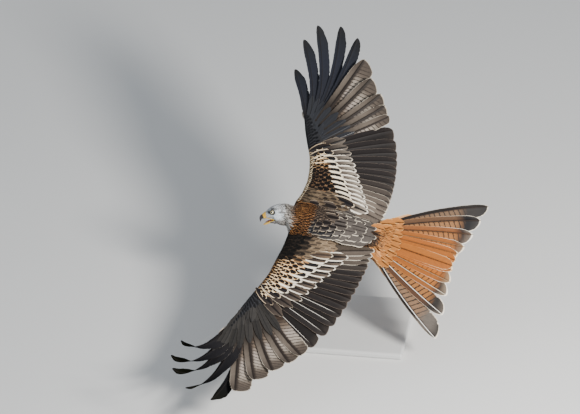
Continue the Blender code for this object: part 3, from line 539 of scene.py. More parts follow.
def feather_material(name, roughness, gloss, flight=False):
    """Keratin barbs zipped into a web: soft broad gloss, with barbs that run out slantwise from the shaft.

    The feather's own colours come with its mesh. The web, centre, bars, rim and shaft are laid out by the
    place on the vane. Barbs stand 0.35 mm apart on the real feather and are drawn 1.1 mm apart, to show.
    """
    made, put, shader = new_material(name)
    spot = put("UVMap", uv_map="vane")
    across = put("SeparateXYZ", {0: spot})
    along = across.node.outputs[1]
    signed = put("Math", {0: across, 1: 2.0, 2: -1.0}, operation="MULTIPLY_ADD")
    from_shaft = put("Math", {0: signed}, operation="ABSOLUTE")
    looks = put("Attribute", attribute_name="looks")
    aspect = looks.node.outputs["Alpha"]
    rim_share = put("SeparateColor", {0: looks})
    centre_share, shaft_share = rim_share.node.outputs[1], rim_share.node.outputs[2]
    size = put("Attribute", output=1, attribute_name="size")
    out_mm = put("SeparateXYZ", {0: size})
    along_mm, seed = out_mm.node.outputs[1], out_mm.node.outputs[2]
    beside = put("Math", {0: out_mm}, operation="ABSOLUTE")

    slant = put("Math", {0: beside, 1: -1.1, 2: along_mm}, operation="MULTIPLY_ADD")
    barb_place = put("CombineXYZ", {0: slant, 1: beside, 2: seed})
    barb_scaled = put("VectorMath", {0: barb_place, 1: (0.9, 0.07, 1.0)}, operation="MULTIPLY")
    barbs = put("TexNoise", {"Vector": barb_scaled, "Scale": 1.0, "Detail": 3.0, "Roughness": 0.6})
    cloud_scaled = put("VectorMath", {0: barb_place, 1: (0.16, 0.16, 1.0)}, operation="MULTIPLY")
    cloud = put("TexNoise", {"Vector": cloud_scaled, "Scale": 1.0, "Detail": 2.0})

    # A ragged edge for every mark, because barbs carry the colour one by one.
    ragged = put("Math", {0: barbs, 1: 0.34, 2: -0.17}, operation="MULTIPLY_ADD")
    web, rim, mark = (put("Attribute", attribute_name=name) for name in ("web", "rim", "mark"))
    colour = web
    if flight:
        inner, bars = (put("Attribute", attribute_name=name) for name in ("inner", "bars"))
        pitch = put("SeparateColor", {0: bars})
        tip_start, tip_share = pitch.node.outputs[1], pitch.node.outputs[2]
        bar_share = bars.node.outputs["Alpha"]
        tip = put("Attribute", attribute_name="tip")
        inward = put("MapRange", {0: signed, 1: -0.03, 2: 0.06})
        colour = put("Mix", {0: inward, 6: web, 7: inner}, output=2, data_type="RGBA")
        wander = put("Math", {0: cloud, 1: 5.0, 2: along_mm}, operation="MULTIPLY_ADD")
        bar_place = put("Math", {0: beside, 1: -0.28, 2: wander}, operation="MULTIPLY_ADD")
        bar_count = put("Math", {0: bar_place, 1: pitch}, operation="DIVIDE")
        wave = put("Math", {0: bar_count}, operation="FRACT")
        fold = put("Math", {0: wave, 1: 0.5}, operation="SUBTRACT")
        near = put("Math", {0: fold}, operation="ABSOLUTE")
        near_ragged = put("Math", {0: ragged, 1: 0.35, 2: near}, operation="MULTIPLY_ADD")
        bar = put("MapRange", {0: near_ragged, 1: 0.09, 2: 0.15, 3: 1.0, 4: 0.0})
        strength = put("Math", {0: inward, 1: bar_share}, operation="MULTIPLY")
        inner_bar = put("Math", {0: bar, 1: strength}, operation="MULTIPLY")
        colour = put("Mix", {0: inner_bar, 6: colour, 7: mark}, output=2, data_type="RGBA")
        tip_ragged = put("Math", {0: ragged, 1: 0.25, 2: along}, operation="MULTIPLY_ADD")
        past = put("Math", {0: tip_ragged, 1: tip_start}, operation="SUBTRACT")
        tipped = put("MapRange", {0: past, 1: -0.06, 2: 0.05})
        tip_amount = put("Math", {0: tipped, 1: tip_share}, operation="MULTIPLY")
        colour = put("Mix", {0: tip_amount, 6: colour, 7: tip}, output=2, data_type="RGBA")

    # The dark centre narrows to the tip, like a spearhead.
    taper = put("Math", {0: along, 1: 3.0}, operation="POWER")
    narrowing = put("Math", {0: taper, 1: -0.35, 2: 1.0}, operation="MULTIPLY_ADD")
    centre_width = put("Math", {0: centre_share, 1: narrowing}, operation="MULTIPLY")
    shifted = put("Math", {0: from_shaft, 1: ragged}, operation="ADD")
    inside = put("Math", {0: shifted, 1: centre_width}, operation="SUBTRACT")
    centre = put("MapRange", {0: inside, 1: -0.07, 2: 0.07, 3: 1.0, 4: 0.0})
    has_centre = put("Math", {0: centre_share, 1: 0.02}, operation="GREATER_THAN")
    centre = put("Math", {0: centre, 1: has_centre}, operation="MULTIPLY")
    colour = put("Mix", {0: centre, 6: colour, 7: mark}, output=2, data_type="RGBA")

    # The worn pale rim keeps one width round the sides and the tip.
    to_side = put("Math", {0: 1.0, 1: from_shaft}, operation="SUBTRACT")
    to_tip = put("Math", {0: 1.0, 1: along}, operation="SUBTRACT")
    tip_reach = put("Math", {0: to_tip, 1: aspect}, operation="MULTIPLY")
    to_edge = put("Math", {0: to_side, 1: tip_reach}, operation="MINIMUM")
    edge_ragged = put("Math", {0: ragged, 1: 0.35, 2: to_edge}, operation="MULTIPLY_ADD")
    in_rim = put("Math", {0: edge_ragged, 1: rim_share}, operation="SUBTRACT")
    rimmed = put("MapRange", {0: in_rim, 1: -0.05, 2: 0.03, 3: 1.0, 4: 0.0})
    has_rim = put("Math", {0: rim_share, 1: 0.004}, operation="GREATER_THAN")
    rimmed = put("Math", {0: rimmed, 1: has_rim}, operation="MULTIPLY")
    colour = put("Mix", {0: rimmed, 6: colour, 7: rim}, output=2, data_type="RGBA")

    if flight:
        bright = put("Attribute", attribute_name="quill")
        width = bright.node.outputs["Alpha"]
        off_quill = put("Math", {0: beside, 1: width}, operation="SUBTRACT")
        quill = put("MapRange", {0: off_quill, 1: -0.15, 2: 0.25, 3: 1.0, 4: 0.0})
        colour = put("Mix", {0: quill, 6: colour, 7: bright}, output=2, data_type="RGBA")
    else:
        quill = put("MapRange", {0: beside, 1: 0.35, 2: 0.75, 3: 1.0, 4: 0.0})
        quill_amount = put("Math", {0: quill, 1: shaft_share}, operation="MULTIPLY")
        colour = put("Mix", {0: quill_amount, 6: colour, 7: mark}, output=2, data_type="RGBA")

    shade = put("MapRange", {0: barbs, 1: 0.25, 2: 0.75, 3: 0.90, 4: 1.08})
    drift = put("MapRange", {0: cloud, 1: 0.3, 2: 0.7, 3: 0.90, 4: 1.08})
    value = put("Math", {0: shade, 1: drift}, operation="MULTIPLY")
    colour = put("HueSaturation", {"Color": colour, "Value": value})
    relief = put("Bump", {"Height": barbs, "Distance": 0.25 * MM, "Strength": 0.35})
    feed(shader, {"Base Color": colour, "Normal": relief, "Roughness": roughness, "Specular IOR Level": gloss,
                  "IOR": 1.54})
    return made


def skin_material():
    """Thin feathered skin with down: matt, in the colours of the coat that it carries."""
    made, put, shader = new_material("skin_under_down")
    coat = put("Attribute", attribute_name="coat")
    place = put("TexCoord", output=3)
    down = put("TexNoise", {"Vector": place, "Scale": 420.0, "Detail": 4.0, "Roughness": 0.7})
    value = put("MapRange", {0: down, 1: 0.3, 2: 0.7, 3: 0.7, 4: 1.15})
    colour = put("HueSaturation", {"Color": coat, "Value": value})
    relief = put("Bump", {"Height": down, "Distance": 0.5 * MM, "Strength": 0.8})
    feed(shader, {"Base Color": colour, "Normal": relief, "Roughness": 0.8})
    return made


def yellow_skin(name, low, high, wax=0.4, scale=900.0):
    """Bare waxy skin of a cere or a foot: a soft gloss, fine creases and a little blood under the yellow."""
    made, put, shader = new_material(name)
    place = put("TexCoord", output=3)
    patches = put("TexNoise", {"Vector": place, "Scale": 140.0, "Detail": 3.0})
    colour = put("Mix", {0: patches, 6: four(low), 7: four(high)}, output=2, data_type="RGBA")
    scales = put("TexVoronoi", {"Vector": place, "Scale": scale}, feature="DISTANCE_TO_EDGE")
    groove = put("MapRange", {0: scales, 1: 0.0, 2: 0.12, 3: 0.72, 4: 1.0})
    colour = put("HueSaturation", {"Color": colour, "Value": groove})
    relief = put("Bump", {"Height": scales, "Distance": 0.25 * MM, "Strength": 0.6})
    feed(shader, {"Base Color": colour, "Normal": relief, "Roughness": wax, "Subsurface Weight": 0.15,
                  "Subsurface Scale": 1.5 * MM})
    return made


def horn_material(name, base, tip):
    """Dark keratin horn, grown in layers: glossy, with fine streaks along its length."""
    made, put, shader = new_material(name)
    place = put("TexCoord", output=3)
    layers = put("TexNoise", {"Vector": place, "Scale": 260.0, "Detail": 4.0, "Distortion": 0.4})
    colour = put("Mix", {0: layers, 6: four(base), 7: four(tip)}, output=2, data_type="RGBA")
    rough = put("MapRange", {0: layers, 3: 0.22, 4: 0.38})
    relief = put("Bump", {"Height": layers, "Distance": 0.1 * MM, "Strength": 0.4})
    feed(shader, {"Base Color": colour, "Roughness": rough, "Normal": relief, "IOR": 1.55})
    return made


def eye_material():
    """A wet eye: black pupil, pale yellow iris with fine rays and a dark outer ring, under a clear gloss."""
    made, put, shader = new_material("eye_wet_pale_iris")
    place = put("Attribute", output=1, attribute_name="gaze")
    out = put("SeparateXYZ", {0: place})
    turn = out.node.outputs[1]
    rays_place = put("CombineXYZ", {0: turn, 1: out})
    rays_scaled = put("VectorMath", {0: rays_place, 1: (9.0, 0.8, 1.0)}, operation="MULTIPLY")
    rays = put("TexNoise", {"Vector": rays_scaled, "Scale": 1.0, "Detail": 3.0})
    iris = put("Mix", {0: rays, 6: four("d8c680"), 7: four("fbf6dc")}, output=2, data_type="RGBA")
    outer = put("MapRange", {0: out, 1: IRIS_RADIUS, 2: 6.0})
    ringed = put("Mix", {0: outer, 6: iris, 7: four("241c16")}, output=2, data_type="RGBA")
    inner = put("MapRange", {0: out, 1: PUPIL_RADIUS, 2: 3.2})
    colour = put("Mix", {0: inner, 6: four("050505"), 7: ringed}, output=2, data_type="RGBA")
    feed(shader, {"Base Color": colour, "Roughness": 0.06, "Coat Weight": 1.0, "Coat Roughness": 0.02,
                  "IOR": 1.376})
    return made


def mouth_material():
    """The moist lining of the mouth, dark pink."""
    made, put, shader = new_material("mouth_lining")
    place = put("TexCoord", output=3)
    veins = put("TexNoise", {"Vector": place, "Scale": 300.0, "Detail": 3.0})
    colour = put("Mix", {0: veins, 6: four("5c2f33"), 7: four("8f5052")}, output=2, data_type="RGBA")
    feed(shader, {"Base Color": colour, "Roughness": 0.3})
    return made


def board_paint():
    """Satin paint sprayed on board: an even grey with a fine orange-peel surface, 2 mm across."""
    made, put, shader = new_material("stand_satin_paint")
    place = put("TexCoord", output=3)
    peel = put("TexNoise", {"Vector": place, "Scale": 500.0, "Detail": 2.0})
    wear = put("TexNoise", {"Vector": place, "Scale": 9.0, "Detail": 5.0})
    colour = put("Mix", {0: wear, 6: four("c9cac9"), 7: four("d6d6d4")}, output=2, data_type="RGBA")
    rough = put("MapRange", {0: wear, 3: 0.38, 4: 0.52})
    relief = put("Bump", {"Height": peel, "Distance": 0.05 * MM, "Strength": 0.5})
    feed(shader, {"Base Color": colour, "Roughness": rough, "Normal": relief})
    return made


def brushed_steel():
    """Stainless steel rod, brushed round: fine rings 0.4 mm apart."""
    made, put, shader = new_material("stand_brushed_steel")
    place = put("TexCoord", output=3)
    lines = put("VectorMath", {0: place, 1: (30.0, 30.0, 2500.0)}, operation="MULTIPLY")
    brushing = put("TexNoise", {"Vector": lines, "Scale": 1.0, "Detail": 3.0})
    rough = put("MapRange", {0: brushing, 3: 0.25, 4: 0.42})
    colour = put("Mix", {0: brushing, 6: four("a9acae"), 7: four("c4c6c7")}, output=2, data_type="RGBA")
    feed(shader, {"Base Color": colour, "Roughness": rough, "Metallic": 1.0})
    return made


def floor_material():
    """Plain pale studio floor, matt."""
    made, put, shader = new_material("studio_floor")
    place = put("TexCoord", output=3)
    cloud = put("TexNoise", {"Vector": place, "Scale": 0.6, "Detail": 2.0})
    colour = put("Mix", {0: cloud, 6: four("dcdcda"), 7: four("e2e2e0")}, output=2, data_type="RGBA")
    feed(shader, {"Base Color": colour, "Roughness": 0.9})
    return made


# Feathers

def outline_at(outline, shares):
    """The outer and the inner half width's shares, eased between an outline's rows."""
    table = np.array(outline, float)
    spread = np.linspace(-0.035, 0.035, 7)[:, None]
    at = np.clip(np.asarray(shares)[None] + spread, 0, 1)
    return [np.interp(at, table[:, 0], table[:, k]).mean(0) for k in (1, 2)]


def tuft_shape(columns, rows, outline, round_tip=1.0, arch=0.18, thick=0.25 * MM):
    """A small feather: an arched top that closes on itself below."""
    shares = np.linspace(-1, 1, columns)
    return {"share": shares, "quill": 0 * shares, "ridge": 0 * shares, "top": np.ones(columns), "rows": rows,
            "outline": outline, "round": round_tip, "arch": arch, "thick": thick, "notch": 0.10}


def flight_shape(outline, rows, round_tip=0.8, notch=0.05, arch=0.05, fine=True):
    """A large feather: webs with a top and an underside, and a quill raised on both."""
    outer = [-1, -0.93, -0.7, -0.4] if fine else [-1, -0.6]
    inner = [0.3, 0.55, 0.8, 0.95, 1] if fine else [0.6, 1]
    share = np.array(outer + [0, 0, 0] + inner)
    quill = np.array([0] * len(outer) + [-1, 0, 1] + [0] * len(inner), float)
    ridge = np.array([0] * len(outer) + [0.15, 1, 0.15] + [0] * len(inner), float)
    both = [np.concatenate([part, part[::-1]]) for part in (share, quill, ridge)]
    top = np.concatenate([np.ones(len(share)), -np.ones(len(share))])
    return {"share": both[0], "quill": both[1], "ridge": both[2], "top": top, "rows": rows,
            "outline": outline, "round": round_tip, "arch": arch, "thick": 0.5 * MM, "notch": notch}


def vanes(lines, widths, shape):
    """Points of each vane by feather, row and column, each with its place on the vane and its size in mm."""
    centres, reach, normals, *bends = lines
    count, stations, _ = centres.shape
    widths = np.broadcast_to(np.asarray(widths, float), (count, 2))
    lengths = np.linalg.norm(np.diff(centres, axis=1), axis=2).sum(1)
    rows = shape["rows"]
    outer, inner = outline_at(shape["outline"], rows)
    share, top = shape["share"][None, None], shape["top"][None, None]
    # Barbs part here and there, and more towards the edge.
    ragged = chance.normal(0, shape["notch"] * 0.35, (count, len(rows), 1))
    parted = chance.random((count, len(rows), 1)) < 0.06
    parted = parted * shape["notch"] * chance.random((count, len(rows), 1)) * 3
    wear = 1 + (ragged - parted) * np.abs(share) ** 3
    half = np.where(share < 0, widths[:, :1, None] * outer[None, :, None],
                    widths[:, 1:, None] * inner[None, :, None])
    stout = np.clip(lengths / 0.38, 0.35, 1.15)[:, None, None]
    quill_half = (mix(1.3, 0.35, rows)[None, :, None] * stout) * MM
    half = np.maximum(half * wear, quill_half * 1.05)
    out = share * half + shape["quill"][None, None] * quill_half
    rounding = shape["round"] * widths.max(1) / lengths
    along = rows[None, :, None] - rounding[:, None, None] * share**2 * rows[None, :, None] ** 5
    rise = top * (shape["thick"] / 2 + shape["ridge"][None, None] * quill_half * 1.1)
    rise = rise + shape["arch"] * half * (1 - share**2)
    for bend in bends:
        rise = rise - 0.5 * bend[:, None, None] * out**2
    at = np.clip(along, 0, 1) * (stations - 1)
    low = np.minimum(at.astype(int), stations - 2)
    part = (at - low)[..., None]
    each = np.arange(count)[:, None, None]
    middle, side, up = (a[each, low] * (1 - part) + a[each, low + 1] * part
                        for a in (centres, reach, normals))
    points = middle + side * out[..., None] + up * rise[..., None]
    across = np.broadcast_to(share, out.shape)
    place = np.stack([across * 0.5 + 0.5, np.broadcast_to(rows[None, :, None], out.shape)], -1)
    size = np.stack([out / MM, along * lengths[:, None, None] / MM,
                     np.broadcast_to(chance.random((count, 1, 1)) * 90, out.shape)], -1)
    return points, place, size, lengths


def ring_faces(count, rows, columns):
    """Quads round and along each vane, and a cap at each end."""
    index = np.arange(count * rows * columns).reshape(count, rows, columns)
    after = np.roll(index, -1, 2)
    quads = np.stack([index[:, :-1], after[:, :-1], after[:, 1:], index[:, 1:]], -1)
    return quads, np.concatenate([index[:, 0, ::-1], index[:, -1]])


# The side of a small feather's patch, as a share of the baked map.
BAKE_PATCH = 0.003


def feather_mesh(name, lines, widths, shape, colours, homes=None):
    """One mesh of many feathers with the values that its material reads.

    A home is where a small feather's root lies on the unwrapped skin, and its patch of the map is there.
    Without homes each feather has its own cell, its top on one half and its underside on the other.
    """
    points, place, size, lengths = vanes(lines, widths, shape)
    count, rows, columns, _ = points.shape
    quads, caps = ring_faces(count, rows, columns)
    mesh = mesh_of(name, [(points.reshape(-1, 3), [quads.reshape(-1, 4), caps])])
    turned = mesh.loops[0].vertex_index != int(quads.reshape(-1, 4)[0, 0])

    def corners(values):
        """Values of each corner of the quads and then of the caps."""
        flat = values.reshape(-1, values.shape[-1])
        order = quads.reshape(-1, 4)
        ends = caps
        if turned:
            order, ends = order[:, ::-1], ends[:, ::-1]
        return np.concatenate([flat[order.ravel()], flat[ends.ravel()]])

    layer = mesh.uv_layers.new(name="vane")
    layer.uv.foreach_set("vector", corners(place).astype(np.float32).ravel())
    if homes is not None:
        offset = (place - 0.5) * BAKE_PATCH
        bake = np.asarray(homes)[:, None, None] * 0.99 + 0.005 + offset
    else:
        across = math.ceil(math.sqrt(count * 4))
        down = math.ceil(count / across)
        cell = np.stack([np.arange(count) % across, np.arange(count) // across], -1)[:, None, None]
        page = np.where(shape["top"] > 0, 0.0, 0.5)[None, None]
        inside = np.stack([0.02 + 0.46 * place[..., 0] + page, 0.02 + 0.96 * place[..., 1]], -1)
        bake = (cell + inside) / (across, down)
    layer = mesh.uv_layers.new(name="OFBake")
    layer.uv.foreach_set("vector", corners(bake).astype(np.float32).ravel())
    aspect = np.broadcast_to((lengths / np.broadcast_to(widths, (count, 2)).max(1))[:, None, None, None],
                             (count, rows, columns, 1))
    for label, value in colours.items():
        value = np.asarray(value, float)
        if value.ndim == 2:
            value = value[:, None, None]
        value = np.broadcast_to(value, (count, rows, columns, value.shape[-1]))
        if value.shape[-1] == 3:
            value = np.concatenate([value, aspect], -1)
        kept = mesh.attributes.new(label, "FLOAT_COLOR", "POINT")
        kept.data.foreach_set("color", value.astype(np.float32).ravel())
    kept = mesh.attributes.new("size", "FLOAT_VECTOR", "POINT")
    kept.data.foreach_set("vector", size.astype(np.float32).ravel())
    return mesh


def shaft_lines(feathers, side, placing=None, stations=33):
    """Places, reach towards the inner vane and normals along shafts, for feathers given as in the solids."""
    def column(key, usual=0.0):
        return np.array([f.get(key, usual) for f in feathers], float)[:, None]

    share = np.linspace(0, 1, stations)[None]
    middle = (share[:, 1:] + share[:, :-1]) / 2

    def heading(at):
        turn = np.radians(column("sweep") + column("bend") * at)
        lift = np.radians(column("rise") + column("curl") * at**2)
        return turn, lift

    turn, lift = heading(middle)
    steps = np.stack([np.sin(turn) * np.cos(lift), np.cos(turn) * np.cos(lift), np.sin(lift)], -1)
    steps = steps * (column("length") / (stations - 1))[..., None]
    roots = np.array([tuple(f["root"]) for f in feathers])[:, None]
    points = np.concatenate([roots, roots + np.cumsum(steps, 1)], 1)
    turn, lift = heading(share)
    inner = np.stack([np.cos(turn), -np.sin(turn), 0 * turn], -1)
    normal = np.stack([-np.sin(turn) * np.sin(lift), -np.cos(turn) * np.sin(lift), np.cos(lift)], -1)
    tilt = np.radians(column("tilt", SHINGLE) + column("twist") * share**1.5)[..., None]
    reach = inner * np.cos(tilt) - normal * np.sin(tilt)
    up = normal * np.cos(tilt) + inner * np.sin(tilt)
    flip = np.array((1, side, 1))
    lines = [points * flip, reach * flip, up * flip]
    if placing is not None:
        turn = np.array(placing)[:3, :3]
        lines = [lines[0] @ turn.T + np.array(placing)[:3, 3], lines[1] @ turn.T, lines[2] @ turn.T]
    return lines


# The small feathers that are planted so far, by coat piece.
coat = {}


def plant(name, root, way, length, width, looks, home, lift, roll=0.0):
    """Adds one small feather to a coat piece, to be laid over the skin later, rolled about its shaft."""
    coat.setdefault(name, []).append((Vector(root), Vector(way), length, width, looks, home, lift, roll))


def bend_across(skin, place, up, side, reach):
    """How strongly the skin bends away to both sides of a feather, as one over a radius."""
    middle = skin.find_nearest(place)[0]
    drop = sum((middle - skin.find_nearest(middle + side * (reach * s))[0]).dot(up) for s in (-1, 1))
    return min(0.7 / reach, max(0.0, drop / reach**2))


def lay_over_skin(skin, feathers, stations=6):
    """Shaft lines that start in the skin and run back over it, rising so that each overlaps the next."""
    count = len(feathers)
    centres, sides, normals = (np.zeros((count, stations, 3)) for _ in range(3))
    bends = np.zeros(count)
    for i, (root, way, length, width, _, _, lift, roll) in enumerate(feathers):
        place, normal, _, _ = skin.find_nearest(root)
        up = normal.copy()
        for k in range(stations):
            along = (way - up * way.dot(up)).normalized()
            height = length * lift * k / (stations - 1)
            side = up.cross(along)
            if k == stations // 2:
                bends[i] = bend_across(skin, place, up, side, width)
            centres[i, k] = place + up * height
            sides[i, k] = side * math.cos(roll) + up * math.sin(roll)
            normals[i, k] = up * math.cos(roll) - side * math.sin(roll)
            place = place + along * (length / (stations - 1))
            found, facing, _, _ = skin.find_nearest(place)
            # Past an edge of the flesh a feather runs straight on.
            if facing.dot(up) > 0.3:
                place = found.lerp(place, 0.25)
                up = up.lerp(facing, 0.55).normalized()
            way = along
    return centres, sides, normals, bends


# Wings

def along_edge(wing, share):
    """The point at a share of the wing's leading edge."""
    points = wing["edge"]
    at = share * (len(points) - 1)
    i = min(int(at), len(points) - 2)
    return Vector(points[i]).lerp(Vector(points[i + 1]), at - i)


def primaries(wing):
    """The primaries from the wrist out to the tip of the hand."""
    wrist, hand_tip = Vector(wing["wrist"]), Vector(wing["hand_tip"])
    return [{"root": wrist.lerp(hand_tip, i / (PRIMARIES - 1)), "sweep": wing["sweep"][i],
             "rise": wing["rise"][i], "bend": wing["bend"][i], "curl": wing["curl"][i],
             "twist": wing["twist"][i], "length": length}
            for i, length in enumerate(PRIMARY_LENGTHS)]


def secondary(wing, t):
    """The secondary or tertial at share t of the way from the wrist to the elbow."""
    sweep, length = wing["secondary_sweep"], wing["secondary_length"]
    return {"root": Vector(wing["wrist"]).lerp(Vector(wing["elbow"]), t),
            "sweep": mix(*sweep[:2], t ** sweep[2]), "rise": mix(-2.0, 1.0, t), "bend": 3.0, "curl": -8.0,
            "length": mix(*length[:2], t ** length[2])}


def over(feather, forward, up, length, drop=0.0, tilt=SHINGLE):
    """A covert that follows the feather it covers, from a root further forward and higher."""
    share = length / feather["length"]
    turn = math.radians(feather["sweep"])
    ahead = Vector((-math.sin(turn), -math.cos(turn), 0)) * forward
    return {"root": Vector(feather["root"]) + ahead + Vector((0, 0, up)), "sweep": feather["sweep"],
            "rise": feather["rise"] + drop, "bend": feather["bend"] * share,
            "curl": feather["curl"] * share * share, "length": length, "tilt": tilt}


def wrist_way(wing):
    """The way back of the plane between the arm and the hand, and where the leading edge crosses it."""
    inner, outer = secondary(wing, 0.6 / SECONDARIES), primaries(wing)[0]
    root = (inner["root"] + outer["root"]) / 2
    tips = shaft_lines([inner, outer], 1)[0][:, -1]
    way = Vector(mix(tips[0], tips[1], 0.34)) - root
    way.z = 0
    way.normalize()
    facing = Vector((-way.y, way.x, 0))
    share = min((abs((along_edge(wing, i / 400) - root).dot(facing)), i / 400) for i in range(100, 400))[1]
    return way, share


def core_row(wing, share, way, split):
    """The front, way back, chord and thickness of the wing's flesh at a share of its leading edge."""
    hand = Vector(wing["hand_tip"]) - Vector(wing["wrist"])
    tip_way = Vector((hand.y, -hand.x, 0)).normalized()
    if share <= split:
        t = share / split
        return (along_edge(wing, share), Vector((1, 0, 0)).lerp(way, t).normalized(),
                mix(ROOT_CHORD, WRIST_CHORD, t),
                [mix(a, b, t) for a, b in zip(ARM_THICKNESS, WRIST_THICKNESS)])
    t = (share - split) / (1 - split)
    return (along_edge(wing, share), way.lerp(tip_way, t).normalized(), mix(WRIST_CHORD, TIP_CHORD, t),
            [mix(a, b, t) for a, b in zip(WRIST_THICKNESS, TIP_THICKNESS)])


# How far behind the leading edge each row of small coverts is rooted.
COVERT_ROWS = (0.001, 0.006, 0.012, 0.0195, 0.029, 0.040, 0.052, 0.064, 0.076, 0.088, 0.100, 0.112, 0.124)
CORE_PROFILE = ((1.0, 0.10), (0.82, 0.42), (0.60, 0.78), (0.38, 1.0), (0.18, 0.92), (0.05, 0.60), (0.0, 0.12))


def wing_flesh(wing):
    """The arm and hand as one loft, on its own side."""
    way, split = wrist_way(wing)
    rings = []
    for share in np.linspace(0, 1, 30):
        front, back, chord, thick = core_row(wing, share, way, split)
        if share == 0:
            front = front - Vector((0, 0.012, 0))
        top = [front + back * (chord * u) + UP * (thick[0] * z) for u, z in CORE_PROFILE]
        under = [front + back * (chord * u) - UP * (thick[1] * z) for u, z in reversed(CORE_PROFILE)]
        rings.append([(p.x, p.y * wing["side"], p.z) for p in top + under])
    return loft(rings)


def tinted(codes, spread=0.05):
    """A row of linear colours, one a feather, each a little lighter or darker by chance."""
    rows = np.array([linear(code) for code in codes])
    return rows * (1 + chance.normal(0, spread, (len(rows), 1)))


def two_faced(shape, above, below):
    """Colours of the upper and the under face of each feather, by feather, row and column."""
    top = shape["top"][None, None, :, None] > 0
    above, below = (v[:, None, None] if v.ndim == 2 else v for v in (above, below))
    return np.where(top, above, below)


def toned(rows, *stops):
    """A colour that changes from the root to the tip through stops of share and hex, by row."""
    shares = [stop[0] for stop in stops]
    colours = np.array([linear(stop[1]) for stop in stops])
    return np.stack([np.interp(rows, shares, colours[:, k]) for k in range(3)], -1)[None, :, None]


def fading(first, last, rows, start, end):
    """Colours by feather and row that change from the first to the last between two shares of the length."""
    ramp = np.clip((rows - start) / (end - start), 0, 1)[None, :, None, None]
    return mix(first[:, None, None], last[:, None, None], ramp)


def bars_row(count, pitch, tip_start, tip_share, bar_share):
    """How a batch of feathers is barred and tipped: one value for all, or one for each."""
    return np.stack([np.broadcast_to(np.asarray(v, float), (count,))
                     for v in (pitch, tip_start, tip_share, bar_share)], -1)


def looks_row(count, rim, centre, shaft=0.0):
    """The shares of a batch's rims, dark centres and shaft lines: one value for all, or one for each."""
    return np.stack([np.broadcast_to(np.asarray(v, float), (count,)) for v in (rim, centre, shaft)], -1)


def quill_row(codes, width):
    """Each quill's colour and its half width in mm."""
    return np.concatenate([np.array([linear(code) for code in codes]),
                           np.broadcast_to(np.asarray(width, float), (len(codes),))[:, None]], -1)


def batch_looks(count, web, rim, mark, tip, looks, bars, quill):
    """What a mesh of large feathers tells its material. A lone hex is tinted for each feather by chance."""
    rim, mark, tip = (tinted([v] * count) if isinstance(v, str) else v for v in (rim, mark, tip))
    return {"web": web, "inner": web, "rim": rim, "mark": mark, "tip": tip, "looks": looks_row(count, *looks),
            "bars": bars_row(count, *bars), "quill": quill_row([quill[0]] * count, quill[1])}


def flight_piece(name, feathers, side, shape, widths, colours, material, nodes, tail=None):
    """A row of large feathers as one piece, of a wing or of the tail in its own frame."""
    mesh = feather_mesh(name, shaft_lines(feathers, side, tail), widths, shape, colours)
    piece(name, mesh, material, nodes, sharp=50)


